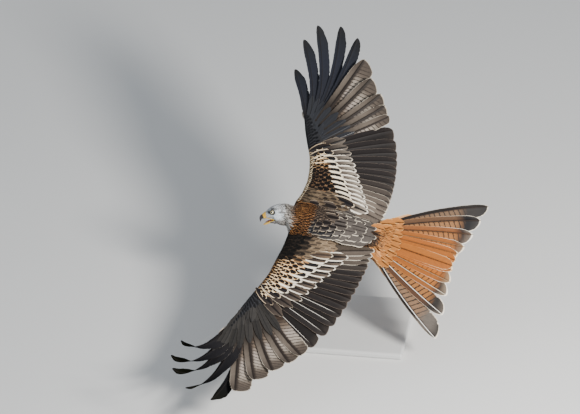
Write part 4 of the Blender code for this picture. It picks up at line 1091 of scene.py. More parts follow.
def make_wing(name, wing, web_vane, finger_vane, covert_vane):
    """The quills of one wing with their larger coverts, above and below."""
    side = wing["side"]
    arm, hand = f"wing_{name}_arm", f"wing_{name}_hand"

    # Primaries: P1 to P5 grey-brown with pale barred inner webs, P6 to P10 black fingers.
    quills = primaries(wing)
    for outline, first, last in ((BLADE, 0, 5), (CURLED if side < 0 else FINGER, 5, 10)):
        group = quills[first:last]
        shape = flight_shape(outline, np.linspace(0, 1, 76), 0.62 if first else 0.5, 0.05)
        count = len(group)
        if first:
            # On the right hand the fingers' lighter, bluish black is painted sheen.
            ends = ("242325", "18181a", "15150f") if side < 0 else ("2a2b31", "262830", "1f2124")
            above = toned(shape["rows"], (0.0, "26221f"), (0.35, ends[0]), (0.7, ends[1]), (1.0, ends[2]))
            below = toned(shape["rows"], (0.0, "d9d2c4"), (0.26, "c9c1b3"), (0.44, "39342f"),
                          (0.62, "14140f"), (1.0, "11120c"))
            web = two_faced(shape, above, below)
            colours = batch_looks(count, web, "2c2c31", "151418", "1c1b1a", (0.0, 0.0),
                                  (9.0, 0.93, 0.5, 0.0), ("2a2624", 0.6))
            widths = (0.010, 0.035)
        else:
            above = toned(shape["rows"], (0.0, "25211e"), (0.42, "332d28"), (0.58, "5d544b"),
                          (0.74, "6a6056"), (0.90, "574e46"), (1.0, "4a423b"))
            web = two_faced(shape, above, tinted(["b9b2a6"] * count))
            above = toned(shape["rows"], (0.0, "25211e"), (0.40, "3b3028"), (0.50, "6d5f52"),
                          (0.60, "a0948a"), (0.76, "9b9083"), (0.85, "5d534a"), (1.0, "453d36"))
            inner = two_faced(shape, above, tinted(["e2dccf"] * count))
            rim = fading(tinted(["332d28"] * count), tinted(["e6dac6"] * count), shape["rows"], 0.62, 0.86)
            colours = {"web": web, "inner": inner, "rim": rim,
                       "mark": tinted(["2a2420"] * count), "tip": tinted(["4c443d"] * count),
                       "looks": looks_row(count, (0.048, 0.048, 0.048, 0.040, 0.034), 0.20),
                       "bars": bars_row(count, 13.0, 0.92, 0.6, 0.9),
                       "quill": quill_row(["2c2521", "2c2521", "2c2521", "26201d", "221d1b"], 0.8)}
            widths = np.array([(0.018, 0.044)] + [(0.018, 0.050)] * 4)
            if side > 0:
                widths[0, 1] = 0.021
        label = "fingers" if first else "inner_primaries"
        vane = finger_vane if first else web_vane
        flight_piece(f"{label}_{name}", group, side, shape, widths, colours, vane, (hand,))

    # Secondaries with a dark outer part, and the broad rounded tertials next to the body.
    quills = [secondary(wing, (i + 0.6) / SECONDARIES) for i in range(SECONDARIES)]
    # On the left wing the near-white quills of the outer four secondaries are painted highlights along the
    # shafts.
    pale_quill = (["efe9df"] if side < 0 else ["26211e"]) * 4 + ["3a332d"] * 5 + ["1f1a18"] * 5
    quill = quill_row(pale_quill, (0.55,) * 4 + (0.5,) * 5 + (0.7,) * 5)
    dark_quill = quill_row(["26211e"] * SECONDARIES, 0.5)
    begin, span = (9.6, 2.0) if side < 0 else (6.5, 4.5)
    tertial = np.clip((np.arange(SECONDARIES) - begin) / span, 0, 1)[:, None]

    def towards_tertials(code, last, spread=0.05):
        """A colour of the secondaries that turns into the tertials' own."""
        return mix(tinted([code] * SECONDARIES, spread), tinted([last] * SECONDARIES), tertial)

    webs = ("201c1b", "5d534a", "1b1817", "554c43") if side < 0 else ("252120", "6d6258", "201d1c", "665b51")
    outer_web, inner_web = towards_tertials(*webs[:2], 0.06), towards_tertials(*webs[2:], 0.06)
    under_web, under_inner = tinted(["8d857a"] * SECONDARIES), tinted(["a79f93"] * SECONDARIES)
    rim, mark = towards_tertials("85766a", "efe4cf"), towards_tertials("1c1817", "28221e")
    tip = towards_tertials("38312c", "5d534a")
    looks = looks_row(SECONDARIES, mix(0.028, 0.080, tertial[:, 0]), mix(0.14, 0.06, tertial[:, 0]))
    bars = bars_row(SECONDARIES, 15.0, 0.93, 0.5, mix(0.30, 0.10, tertial[:, 0]))
    batches = (("secondaries", slice(0, 11), BROAD, 0.26), ("tertials", slice(11, SECONDARIES), COVERT, 0.9))
    for label, part, outline, rounding in batches:
        shape = flight_shape(outline, np.linspace(0, 1, 50), rounding, 0.04)
        colours = {"web": two_faced(shape, outer_web[part], under_web[part]),
                   "inner": two_faced(shape, inner_web[part], under_inner[part]), "rim": rim[part],
                   "mark": mark[part], "tip": tip[part], "looks": looks[part], "bars": bars[part],
                   "quill": fading(quill[part], dark_quill[part], shape["rows"], 0.80, 0.93)}
        flight_piece(f"{label}_{name}", quills[part], side, shape, (0.018, 0.042), colours, web_vane, (arm,))

    # Greater coverts of the arm: dark, with bright worn rims.
    shape = flight_shape(COVERT, np.linspace(0, 1, 22), 1.0, 0.05, fine=False)
    count, spacing = (10, 11) if side < 0 else (14, 14)
    group = [over(secondary(wing, (i + 0.4) / spacing), 0.004, 0.0062, 0.108 - 0.003 * (i % 2))
             for i in range(count)]
    worn = np.clip((np.arange(count) / count - 0.02) / 0.30, 0.15, 1)
    ends = ("3a322c", "5a4e44", "6b5e52") if side < 0 else ("50463f", "8d8275", "a89d90")
    pale = toned(shape["rows"], (0.0, "2b2522"), (0.5, ends[0]), (0.8, ends[1]), (1.0, ends[2]))
    dusky = toned(shape["rows"], (0.0, "241f1d"), (0.6, "2e2825"), (1.0, "3d352f"))
    upper = mix(dusky, pale, np.clip(worn, 0.25, 1)[:, None, None, None])
    dark = two_faced(shape, upper, tinted(["6b6259"] * count))
    rim = mix(tinted(["8f7c66"] * count), tinted(["f6ecda"] * count), worn[:, None])
    colours = batch_looks(count, dark, rim, "1d1918", "6b5e52", (worn * (0.27 if side < 0 else 0.30), 0.20),
                          (15.0, 0.95, 0.2, 0.0), ("171413", 0.6))
    flight_piece(f"greater_coverts_{name}", group, side, shape, (0.0175, 0.0190), colours, web_vane, (arm,))

    # Median coverts: nearly black, with broad buff rims.
    count = 10 if side < 0 else 11
    places = [(i + 0.5) / 11 for i in range(count)]
    worn = np.clip((np.arange(count) / count + 0.02) / 0.25, 0.3, 1)
    worn[-1] = 0.6
    edge = "f8eed8" if side < 0 else "f5e6ca"
    group = [over(secondary(wing, t), 0.020, 0.0132, 0.076 - 0.003 * (i % 2), -4)
             for i, t in enumerate(places)]
    upper = toned(shape["rows"], (0.0, "1c1817"), (0.7, "241e1c"), (1.0, "3a302a"))
    brown = toned(shape["rows"], (0.0, "3a302a"), (0.6, "645343"), (1.0, "75624f"))
    inmost = np.clip(np.arange(count) - 7.5, 0, 1)[:, None] * (side < 0)
    upper = mix(upper, brown, inmost[:, :, None, None])
    dark = two_faced(shape, upper, tinted(["6b6259"] * count))
    rim = mix(tinted(["9c7c56"] * count), tinted([edge] * count), worn[:, None])
    mark = mix(tinted(["141214"] * count), tinted(["473a30"] * count), inmost)
    colours = batch_looks(count, dark, rim, mark, "3a302a", (worn * (0.46 if side < 0 else 0.50), 0.30),
                          (15.0, 0.95, 0.0, 0.0), ("121012", 0.6))
    flight_piece(f"median_coverts_{name}", group, side, shape, (0.0160, 0.0165), colours, web_vane, (arm,))

    # Primary coverts and the alula: long, narrow and glossy black.
    shape = flight_shape(COVERT, np.linspace(0, 1, 26), 1.0, 0.04)
    first_nine = primaries(wing)[:9]
    group = [over(f, 0.004, mix(0.0042, 0.0026, i / 8), mix(0.146, 0.132, i / 8))
             for i, f in enumerate(first_nine)]
    group += [over(f, 0.014, mix(0.0070, 0.0046, i / 8), mix(0.096, 0.082, i / 8), -2)
              for i, f in enumerate(first_nine)]
    split = wrist_way(wing)[1]
    alula = []
    for i in range(4):
        front = along_edge(wing, mix(split, 1, 0.12 + 0.08 * i))
        alula.append({"root": front + Vector((0.008, 0, 0.0045 - 0.0006 * i)),
                      "sweep": wing["alula_sweep"] + 8 * (3 - i), "rise": wing["rise"][5] * 0.5, "bend": 4.0,
                      "curl": 4.0, "length": 0.100 - 0.015 * i})
    group += alula
    count = len(group)
    web = two_faced(shape, tinted(["302e2c" if side < 0 else "1d1d21"] * count, 0.12),
                    tinted(["4c4843"] * count))
    widths = np.array([(0.0100, 0.0130)] * 9 + [(0.0100, 0.0115)] * 9 + [(0.0070, 0.0125)] * 4)
    colours = batch_looks(count, web, "4a4642" if side < 0 else "3c3e46", "0d0e12", "23242a", (0.06, 0.0),
                          (15.0, 0.95, 0.3, 0.0), ("17171a", 0.4))
    flight_piece(f"primary_coverts_{name}", group, side, shape, widths, colours, covert_vane, (hand,))

    # Greater coverts under the wing: soft grey-brown with pale edges.
    shape = flight_shape(COVERT, np.linspace(0, 1, 18), 1.0, 0.05, fine=False)
    on_arm = 16
    group = [over(secondary(wing, (i + 0.5) / on_arm), 0.006, -0.0042, 0.078, 2, -SHINGLE)
             for i in range(on_arm)]
    shares = [i / (PRIMARIES - 1) for i in range(PRIMARIES)]
    group += [over(f, 0.004, mix(-0.0036, -0.0024, t), mix(0.086, 0.062, t), 1, -SHINGLE)
              for t, f in zip(shares, primaries(wing))]
    soft = tinted(["8c7f72"] * on_arm + ["a89f93"] * PRIMARIES, 0.06)
    colours = batch_looks(len(group), soft, "d8ccba", "4a4038", "5b5047", (0.12, 0.16),
                          (12.0, 0.72, 0.7, 0.15), ("cfc6b8", 0.5))
    nodes = (arm, hand)
    flight_piece(f"under_coverts_{name}", group, side, shape, (0.0115, 0.0125), colours, web_vane, nodes)


def plant_wing(wing, label):
    """Small coverts over the front of the wing, above and below, from the shoulder to the tip of the hand."""
    way, split = wrist_way(wing)
    side = wing["side"]
    wrist, elbow = Vector(wing["wrist"]), Vector(wing["elbow"])

    def place(share, distance, under):
        front, back, chord, thick = core_row(wing, share, way, split)
        u = min(1.0, distance / chord)
        heights = np.interp(u, [p[0] for p in CORE_PROFILE][::-1], [p[1] for p in CORE_PROFILE][::-1])
        point = front + back * (chord * u) + UP * (-thick[1] * heights if under else thick[0] * heights)
        return point, back

    length_of_edge = sum((Vector(a) - Vector(b)).length for a, b in zip(wing["edge"], wing["edge"][1:]))
    for under in (False, True):
        for row, distance in enumerate(COVERT_ROWS):
            grown = min(1.0, row / 5)
            pitch = mix(0.0072, 0.0185, grown)
            count = int(length_of_edge / pitch)
            for k in range(count):
                share = (k + 0.5 * (row % 2) + chance.normal(0, 0.06)) / count
                if not 0 < share < 1:
                    continue
                point, back = place(share, distance, under)
                out = point.y
                t = unit((wrist.y - out) / (wrist.y - elbow.y))
                behind = point.x - mix(wrist.x, elbow.x, t)
                if share <= split:
                    limit = mix(0.000, 0.012, t) if not under else -0.004
                    turn = math.radians(secondary(wing, t)["sweep"])
                    heading = Vector((math.sin(turn), math.cos(turn), 0)).lerp(back, 0.35 if row > 1 else 0.6)
                else:
                    limit = 0.0
                    hand_share = (share - split) / (1 - split)
                    behind = distance - mix(WRIST_CHORD, TIP_CHORD, hand_share) * 0.5
                    sweep = np.interp(hand_share * (PRIMARIES - 1), range(PRIMARIES), wing["sweep"])
                    turn = math.radians(sweep)
                    heading = Vector((math.sin(turn), math.cos(turn), 0)).lerp(back, 0.3)
                if behind > limit:
                    continue
                length = mix(0.015, 0.037, grown) * (1 + chance.normal(0, 0.05))
                width = mix(0.0046, 0.0112, grown)
                if share > split:
                    length, width = length * 0.85, width * 0.80
                looks = covert_looks(side, share / split, row, share > split, under, chance.random())
                spot = (0.02 + 0.96 * share, (0.51 if under else 0.01) + 0.47 * min(1, distance / 0.13))
                heading.normalize()
                way_out = Vector((heading.x, heading.y * side, 0))
                root = Vector((point.x, point.y * side, point.z))
                plant(f"small_coverts_{label}", root, way_out, length, width, looks, spot, 0.055)


def covert_looks(side, t, row, on_hand, under, luck):
    """A small covert's plumage from its place: t runs from the shoulder to the wrist, rows from the front."""
    if under:
        if on_hand:
            return plumage("underwing", "hand_edge", 0.25 + 0.5 * luck if row > 3 else 1.0)
        if row < 2:
            return plumage("marginal", "underwing", row * 0.5)
        return plumage("underwing", "hand_edge", 0.2 * luck)
    if on_hand:
        return plumage("hand_edge")
    if side < 0:
        sandy = plumage("lesser", "sandy", (t - 0.35) / 0.6 + 0.5 * (luck - 0.5))
        pale = mix(plumage("inner_covert"), sandy, unit((t - 0.30) / 0.12))
        if t < 0.46:
            last = np.interp(t, (0.0, 0.10, 0.28, 0.40, 0.46), (4.6, 6.2, 5.2, 2.6, 0.0))
            dark = plumage("dark_shoulder", "mantle", 0.15 * luck)
            return mix(dark, pale, unit((row - last + 0.5) / 2.6 + 0.7 * (luck - 0.5)))
        return plumage("lesser", "dark_shoulder", 0.5) if row < 1 else pale
    # On the right wing the pale sandy front row is painted light on the leading edge.
    if row < 1:
        return plumage("sandy")
    if t < 0.30:
        return plumage("inner_covert", "dark_shoulder", 0.3 + 0.5 * luck)
    sandy = plumage("lesser", "sandy", (t - 0.60) / 0.3 + 0.5 * (luck - 0.5))
    dark = 1.0 - (t - 0.64) / 0.14 - max(0.0, row - 6.5) / 3 + 0.3 * (luck - 0.5)
    return mix(sandy, plumage("dark_lesser"), unit(dark))


# The trunk, neck and head

# The back's feathers give way to the breast's here, as the sine of the angle round the trunk.
FLANK = -0.12


def plant_trunk():
    """Mantle, rump, breast, flanks, belly and undertail, ring by ring from the neck back."""
    samples = np.array([smooth(TRUNK, s)[0] for s in np.linspace(0, 1, 400)])
    front = TRUNK[0][0]
    row = 0
    back = -0.139
    while back < 0.116:
        share = float(np.interp(back, samples, np.linspace(0, 1, 400)))
        section, sizes = trunk_section(share)
        round_way = math.pi * (sizes[0] + 0.5 * (sizes[1] + sizes[2]))
        grown = unit((back - front) / 0.085)
        pitch = mix(0.0080, 0.0092, grown)
        count = int(round_way / pitch)
        for k in range(count):
            angle = 2 * math.pi * (k + 0.5 * (row % 2) + chance.normal(0, 0.06)) / count
            up = math.sin(angle)
            at_wing_root = abs(up) < 0.22 and -0.145 < back < -0.02
            if at_wing_root:
                continue
            root = ring(section, *sizes, np.array([angle]))[0]
            root[1] = max(-0.05, min(0.05, root[1]))
            luck = chance.random()
            if up > FLANK:
                if back < -0.095:
                    looks = plumage("hackle", "mantle", (back + 0.124) / 0.018 + 0.6 * (luck - 0.5))
                elif back < 0.03:
                    looks = plumage("mantle", "rump", (back + 0.02) / 0.05)
                else:
                    # The lower back takes the rump's dark brown, painted shade where the tail meets the body.
                    looks = plumage("rump", "uppertail", (back - 0.092) / 0.025)
                length, width = mix(0.038, 0.033, grown), mix(0.0048, 0.0074, grown)
            else:
                if back < -0.112:
                    looks = plumage("hackle", "breast", (back + 0.135) / 0.02 + 0.4 * (luck - 0.5))
                elif back < -0.04:
                    looks = plumage("breast", "belly", (back + 0.11) / 0.09 * 0.6)
                elif back < 0.055:
                    looks = plumage("belly", "trousers", 0.5 * luck)
                else:
                    looks = plumage("belly", "undertail", (back - 0.05) / 0.03)
                length, width = mix(0.024, 0.034, grown), mix(0.0046, 0.0082, grown)
            spot = ((angle / (2 * math.pi)) % 1, 0.02 + 0.96 * (back - front) / 0.262)
            name = "back_feathers" if up > FLANK else "breast_feathers"
            plant(name, root, (1, 0, 0), length * (1 + chance.normal(0, 0.05)), width, looks, spot, 0.07)
        back += mix(0.0065, 0.0092, grown)
        row += 1


def plant_scapulars():
    """Shoulder feathers in rows that widen back over the loins and the roots of the wings."""
    steps = (-0.106, -0.093, -0.079, -0.064, -0.047, -0.027, -0.004, 0.022)
    for side in (-1, 1):
        for row, back in enumerate(steps):
            t = row / (len(steps) - 1)
            for k in range(5):
                out = mix(0.010, 0.008, t) + (k + 0.5 * (row % 2)) * mix(0.0175, 0.0330, t)
                if out > mix(0.070, 0.078, t) or (side > 0 and row < 3 and k < 3):
                    continue
                luck = chance.random()
                length = mix(0.040, 0.098, t) * (1 + chance.normal(0, 0.03))
                width = mix(0.0105, 0.0225, t)
                slate = 0.15 + 0.4 * k if side < 0 else 0.1
                front = plumage("mantle", "front_scapular", slate + 0.4 * luck)
                looks = mix(front, plumage("rear_scapular"), unit((t - 0.36) / 0.3 + 0.3 * (luck - 0.5)))
                root = Vector((back - 0.2 * out, side * out, 0.06))
                heading = Vector((1, -side * mix(0.02, 0.16, k / 4) * t, 0))
                spot = (0.5 + side * (0.02 + 0.46 * k / 5), 0.02 + 0.96 * t)
                lift = mix(0.080, 0.062, t)
                plant("scapulars", root, heading, length, width, looks, spot, lift, side * SCAPULAR_ROLL)


def plant_neck():
    """Hackles: long narrow feathers, orange with a black streak, turning greyer towards the head."""
    rows = 9
    for row in range(rows):
        t = (row + 0.3) / rows
        section, sizes = neck_section(t)
        round_way = math.pi * (sizes[0] + 0.5 * (sizes[1] + sizes[2]))
        count = int(round_way / mix(0.0084, 0.0046, t))
        for k in range(count):
            angle = 2 * math.pi * (k + 0.5 * (row % 2) + chance.normal(0, 0.1)) / count
            root = ring(section, *sizes, np.array([angle]))[0]
            up = math.sin(angle)
            luck = chance.random()
            if 1.0 + up * 1.6 > chance.random():
                looks = plumage("hackle", "nape", (t - 0.35) / 0.5 + 0.4 * (luck - 0.5))
            else:
                looks = plumage("throat" if (t - 0.45) / 0.35 > luck else "hackle")
            way = -section.col[0].to_3d()
            spot = ((angle / (2 * math.pi)) % 1, 0.02 + 0.96 * t)
            plant("neck_hackles", root, way, mix(0.040, 0.018, t), mix(0.0046, 0.0026, t), looks, spot, 0.075)


def head_looks(forward, left, up, luck):
    """A head tuft's plumage from its place in the head, in mm."""
    side = abs(left)
    looks = plumage("cheek", "crown", (up - 7) / 9)
    if up < -12:
        looks = mix(looks, plumage("throat"), min(1.0, (-12 - up) / 9))
    # The dark from the lore over the eye to behind it is partly painted shade under the brow ridge.
    near_lore = math.hypot((forward - 18) / 8.0, (up - 5.5) / 4.5)
    near_brow = math.hypot((forward - 8) / 9.5, (up - 14.0) / 3.4)
    behind_eye = math.hypot((forward + 10) / 11.0, (up - 4.0) / 3.0)
    dark = 1.2 * max(0.0, 1.3 - min(near_lore, near_brow)) + 0.9 * max(0.0, 1.15 - behind_eye)
    if side > 6:
        looks = mix(looks, plumage("lore"), min(0.95, dark))
    start = -6 if up < 4 else -3
    if forward < start:
        looks = mix(looks, plumage("nape"), min(1.0, (start - forward) / 20) * (0.35 + luck))
    # The dark streaks differ in width from tuft to tuft.
    looks = looks.copy()
    looks[10] *= 0.6 + 0.9 * luck
    return looks


# Where the head's tufts start and end, in mm forward.
FACE_FRONT = 27.4
NAPE_BACK = -23


def plant_head():
    """Fine tufts from the bill back over the head, and shorter still on the jaw."""
    shares = np.linspace(0, 1, 400)
    forwards = np.array([smooth(SKULL, s)[0] for s in shares])
    ahead, left_way, up_way = (HEAD.col[i].to_3d() for i in range(3))
    inverse = HEAD.inverted()
    row = 0
    forward = FACE_FRONT
    while forward > NAPE_BACK:
        share = float(np.interp(forward, forwards, shares))
        section, sizes, _ = skull_section(share)
        t = (FACE_FRONT - forward) / 50
        round_way = math.pi * (sizes[0] + 0.5 * (sizes[1] + sizes[2]))
        count = int(round_way / mix(0.00165, 0.0031, t))
        for k in range(count):
            angle = 2 * math.pi * (k + 0.5 * (row % 2) + chance.normal(0, 0.12)) / count
            root = Vector(ring(section, *sizes, np.array([angle]))[0])
            local = inverse @ root / MM
            at_eye = math.hypot(local.x - EYE[0], local.z - EYE[2]) < BARE_RING and abs(local.y) > 9
            in_mouth = local.z < -13.5 and local.x > 6 and abs(local.y) < 30
            if at_eye or in_mouth:
                continue
            looks = head_looks(local.x, local.y, local.z, chance.random())
            away = Vector((0, local.y, local.z - 2)).normalized()
            way = -ahead + (left_way * away.y + up_way * away.z) * (0.45 if local.x > 20 else 0.12)
            if local.z < 0 and local.x < 10:
                way -= up_way * 0.18
            spot = ((angle / (2 * math.pi)) % 1, 0.02 + 0.9 * t)
            length = mix(3.6, 13.0, t ** 0.8) * MM
            plant("head_tufts", root, way, length, mix(0.80, 2.2, t) * MM, looks, spot, mix(0.10, 0.08, t))
        forward -= mix(1.35, 2.9, t)
        row += 1
    for row in range(JAW_ROWS):
        share = 1 - (row + 0.5) / JAW_ROWS
        at, height, depth, wide = smooth(JAW, share)
        section = in_head(at, 0, height)
        count = int(math.pi * (wide + depth) / 2.0)
        for k in range(count):
            angle = math.pi * (1.0 + (k + 0.5 * (row % 2)) / count)
            root = Vector(ring(section, wide * MM, depth * MM, depth * MM, np.array([angle]), 2.1)[0])
            local = inverse @ root / MM
            looks = head_looks(local.x, local.y, local.z, chance.random())
            spot = ((angle / (2 * math.pi)) % 1, 0.93 + 0.06 * share)
            length = mix(7.5, 4.0, share) * MM
            width = mix(1.3, 0.9, share) * MM
            plant("head_tufts", root, -ahead - up_way * 0.1, length, width, looks, spot, 0.09)


def plant_shanks():
    """Loose trousers of soft feathers down each shank."""
    rows = 13
    for side in (-1, 1):
        for row in range(rows):
            t = row / (rows - 1)
            back, out, up, radius = smooth(SHANK, t)
            centre = Vector((back, out * side, up))
            later = smooth(SHANK, min(1, t + 0.05))
            way = Vector((later[0], later[1] * side, later[2])) - centre
            if way.length < 1e-6:
                way = Vector((1, 0, -0.1))
            section = frame_at(centre, way, UP)
            count = max(7, int(2 * math.pi * radius / 0.0052))
            for k in range(count):
                angle = 2 * math.pi * (k + 0.5 * (row % 2)) / count
                root = ring(section, radius, radius, radius, np.array([angle]), 2.0)[0]
                looks = plumage("trousers", "belly", 0.4 * chance.random())
                spot = (0.25 * (1 + side) + 0.48 * k / count + 0.01, 0.02 + 0.96 * t)
                length, width = mix(0.026, 0.013, t), mix(0.0052, 0.0030, t)
                plant("trousers", root, way.normalized(), length, width, looks, spot, 0.10)


def tail_frame():
    """The tail's own frame: X back along its middle, from the end of the trunk."""
    turn = Matrix.Rotation(TAIL_TWIST, 4, "X") @ Matrix.Rotation(TAIL_TURN, 4, "Z")
    return Matrix.Translation((TRUNK[-1][0], 0, TAIL_RISE)) @ turn


def plant_tail_base():
    """Soft feathers over the flesh that carries the tail, so that the rump runs on into the coverts."""
    tail = tail_frame()
    for row in range(5):
        for k in range(-7, 8):
            out = 0.0086 * (k + 0.5 * (row % 2))
            if abs(out) > 0.034 + 0.007 * row:
                continue
            root = tail @ Vector((-0.012 + 0.0075 * row, out, 0.02))
            way = tail.to_3x3() @ Vector((1, out * 7, 0))
            # The front rows keep some of the rump's dark brown, painted shade at the root of the tail.
            looks = plumage("rump", "uppertail", 0.35 + 0.25 * row + 0.4 * chance.random())
            length = 0.030 * (1 + chance.normal(0, 0.05))
            spot = (0.5 + out * 7, 0.05 + 0.2 * row)
            plant("tail_base_feathers", root, way, length, 0.0078, looks, spot, 0.09)


def make_tail(web_vane):
    """Twelve rectrices in a forked fan, with their coverts above and below."""
    tail = tail_frame()
    start, middle, pitch = TAIL_ROOT
    for side, tips, name in ((-1, LEFT_TAIL_TIPS, "left"), (1, RIGHT_TAIL_TIPS, "right")):
        feathers = []
        for i, (tip, bend) in enumerate(zip(tips, TAIL_BEND)):
            root = Vector((start, middle + pitch * i, -0.0009 * i))
            if i == 0 and side < 0:
                root.z = 0.0016
            way = Vector((*tip, root.z)) - root
            spread = math.degrees(math.atan2(way.y, way.x))
            feathers.append({"root": root, "sweep": 90 - spread - bend / 2, "rise": 0.0, "bend": bend,
                             "curl": -4.0, "length": way.length, "tilt": 0.0 if i == 0 else SHINGLE - 1})
        shape = flight_shape(BROAD, np.linspace(0, 1, 62), 0.6, 0.05)
        between = [(0.013 + 0.0005 * i, 0.036) for i in range(1, 5)]
        widths = np.array([(0.021, 0.021)] + between + [(0.009, 0.046)])
        if side < 0:
            web = tinted(["98561f", "965420", "90521f", "865024", "4d3424", "1f1b19"], 0.03)
            inner = tinted(["9a5a22", "9a5b23", "a05b22", "a0622b", "926033", "7b5f47"], 0.03)
            tip = tinted(["8a4c1e", "6d4526", "4a3a2c", "322c27", "292522", "5b544d"], 0.03)
            end = tinted(["a5652e", "a06c3e", "a08462", "877a69", "5c544c", "201e1c"], 0.03)
            # On the left the pale quills of the outer feathers are painted highlights along the shafts.
            quill = ["4a2c18", "7d5230", "a98a6a", "d9cbb5", "f4efe4", "fbf8f0"]
        else:
            web = tinted(["98561f", "965420", "925524", "804e2b", "5a412e", "231f1d"], 0.03)
            inner = tinted(["9a5a22", "9a5b23", "9e5e29", "9a6334", "8a603b", "6d543e"], 0.03)
            widths[5, 1] = 0.034
            tip = tinted(["8a4c1e", "5a3a24", "3a2f28", "26211f", "151415", "2a2725"], 0.03)
            end = tinted(["a5652e", "86633f", "86725c", "6c6157", "33302e", "1b1a1a"], 0.03)
            quill = ["4a2c18", "7d5230", "8a6a4c", "4a3526", "2c2320", "2c2320"]
        below = tinted(["cba480"] * 6, 0.03)
        edge = tinted(["efd0a6", "f2dcba", "f6ead4", "f8f0e0", "f4ead8", "efe4d0"])
        rim = fading(inner * 1.5, edge, shape["rows"], 0.45, 0.97)
        looks = looks_row(6, (0.05, 0.06, 0.07, 0.07, 0.06, 0.055), 0.07)
        tip_looks = looks_row(6, (0.10, 0.13, 0.15, 0.15, 0.13, 0.08), 0.07)
        colours = {
            "web": two_faced(shape, web, below), "inner": two_faced(shape, inner, below * 1.08),
            "rim": rim, "mark": tinted(["3a2415", "3a2415", "2c1e14", "261b13", "221a14", "221c18"]),
            "tip": fading(tip, end, shape["rows"], 0.88, 1.0),
            "looks": fading(looks, tip_looks, shape["rows"], 0.88, 0.98),
            "bars": bars_row(6, 15.0, (0.97, 0.94, 0.88, 0.83, 0.79, 0.74), (0.3, 0.6, 0.85, 0.95, 1.0, 1.0),
                             (0.0, 0.12, 0.50, 0.85, 0.95, 0.95)),
            "quill": quill_row(quill, (0.6, 0.6, 0.7, 0.8, 0.9, 0.9)),
        }
        flight_piece(f"tail_feathers_{name}", feathers, side, shape, widths, colours,
                     web_vane, ("tail",), tail)
        shape = flight_shape(COVERT, np.linspace(0, 1, 20), 1.0, 0.06, fine=False)
        for label, height, lift, length, many, broad, code, rim, mark in (
                ("uppertail", 0.0066, -1.0, 0.066, 4, 0.0165, "aa6c33", "d3a168", "341f10"),
                ("undertail", -0.0105, 1.0, 0.104, 6, 0.0110, "cf9d70", "e4c49a", "7d5438")):
            feathers = []
            step = 0.044 / (many - 1)
            for layer in range(3):
                shifted = layer if many == 6 else layer % 2
                steep = height > 0 and layer == 2
                for i in range(many - (side > 0) - 1 if steep else many - shifted):
                    root = Vector((0.007 - 0.002 * side - 0.016 * layer, 0.007 + step * (i + 0.5 * shifted),
                                   height * (1 + 0.28 * layer) - (0.0012 * i if height > 0 else 0)))
                    if steep:
                        root += Vector((-0.006, 0, 0.0075))
                    reach = length * (1 - 0.14 * layer) - 0.003 * i
                    feathers.append({"root": root, "sweep": 88 - 8 * i, "rise": lift - (8 if steep else 0),
                                     "bend": 2.0 * i, "curl": 0.0, "length": reach, "tilt": SHINGLE - 2})
            count = len(feathers)
            ground = tinted([code] * count, 0.05)
            colours = batch_looks(count, ground, rim, mark, ground, (0.10, 0.08),
                                  (20.0, 1.1, 0.0, 0.0), (mark, 0.8))
            widths = (broad, broad)
            flight_piece(f"{label}_{name}", feathers, side, shape, widths, colours, web_vane, ("tail",), tail)


def tail_flesh():
    """The flesh that carries the tail fan."""
    back = TRUNK[-1][0]
    tail = tail_frame()
    rings = []
    for i, (distance, wide, above, below) in enumerate(TAIL_CORE):
        end = frame_at(tail @ Vector((distance, 0, 0)), -tail.col[0].to_3d(), tail.col[2].to_3d())
        start = frame_at(Vector((back - 0.004, 0, 0)), AHEAD, UP)
        t = min(1, i / 2)
        turn = start.to_quaternion().slerp(end.to_quaternion(), t)
        between = Matrix.Translation(start.translation.lerp(end.translation, t)) @ turn.to_matrix().to_4x4()
        rings.append(ring(between, wide - 0.002, above - 0.002, below - 0.002, turns(36)))
    return loft(rings)


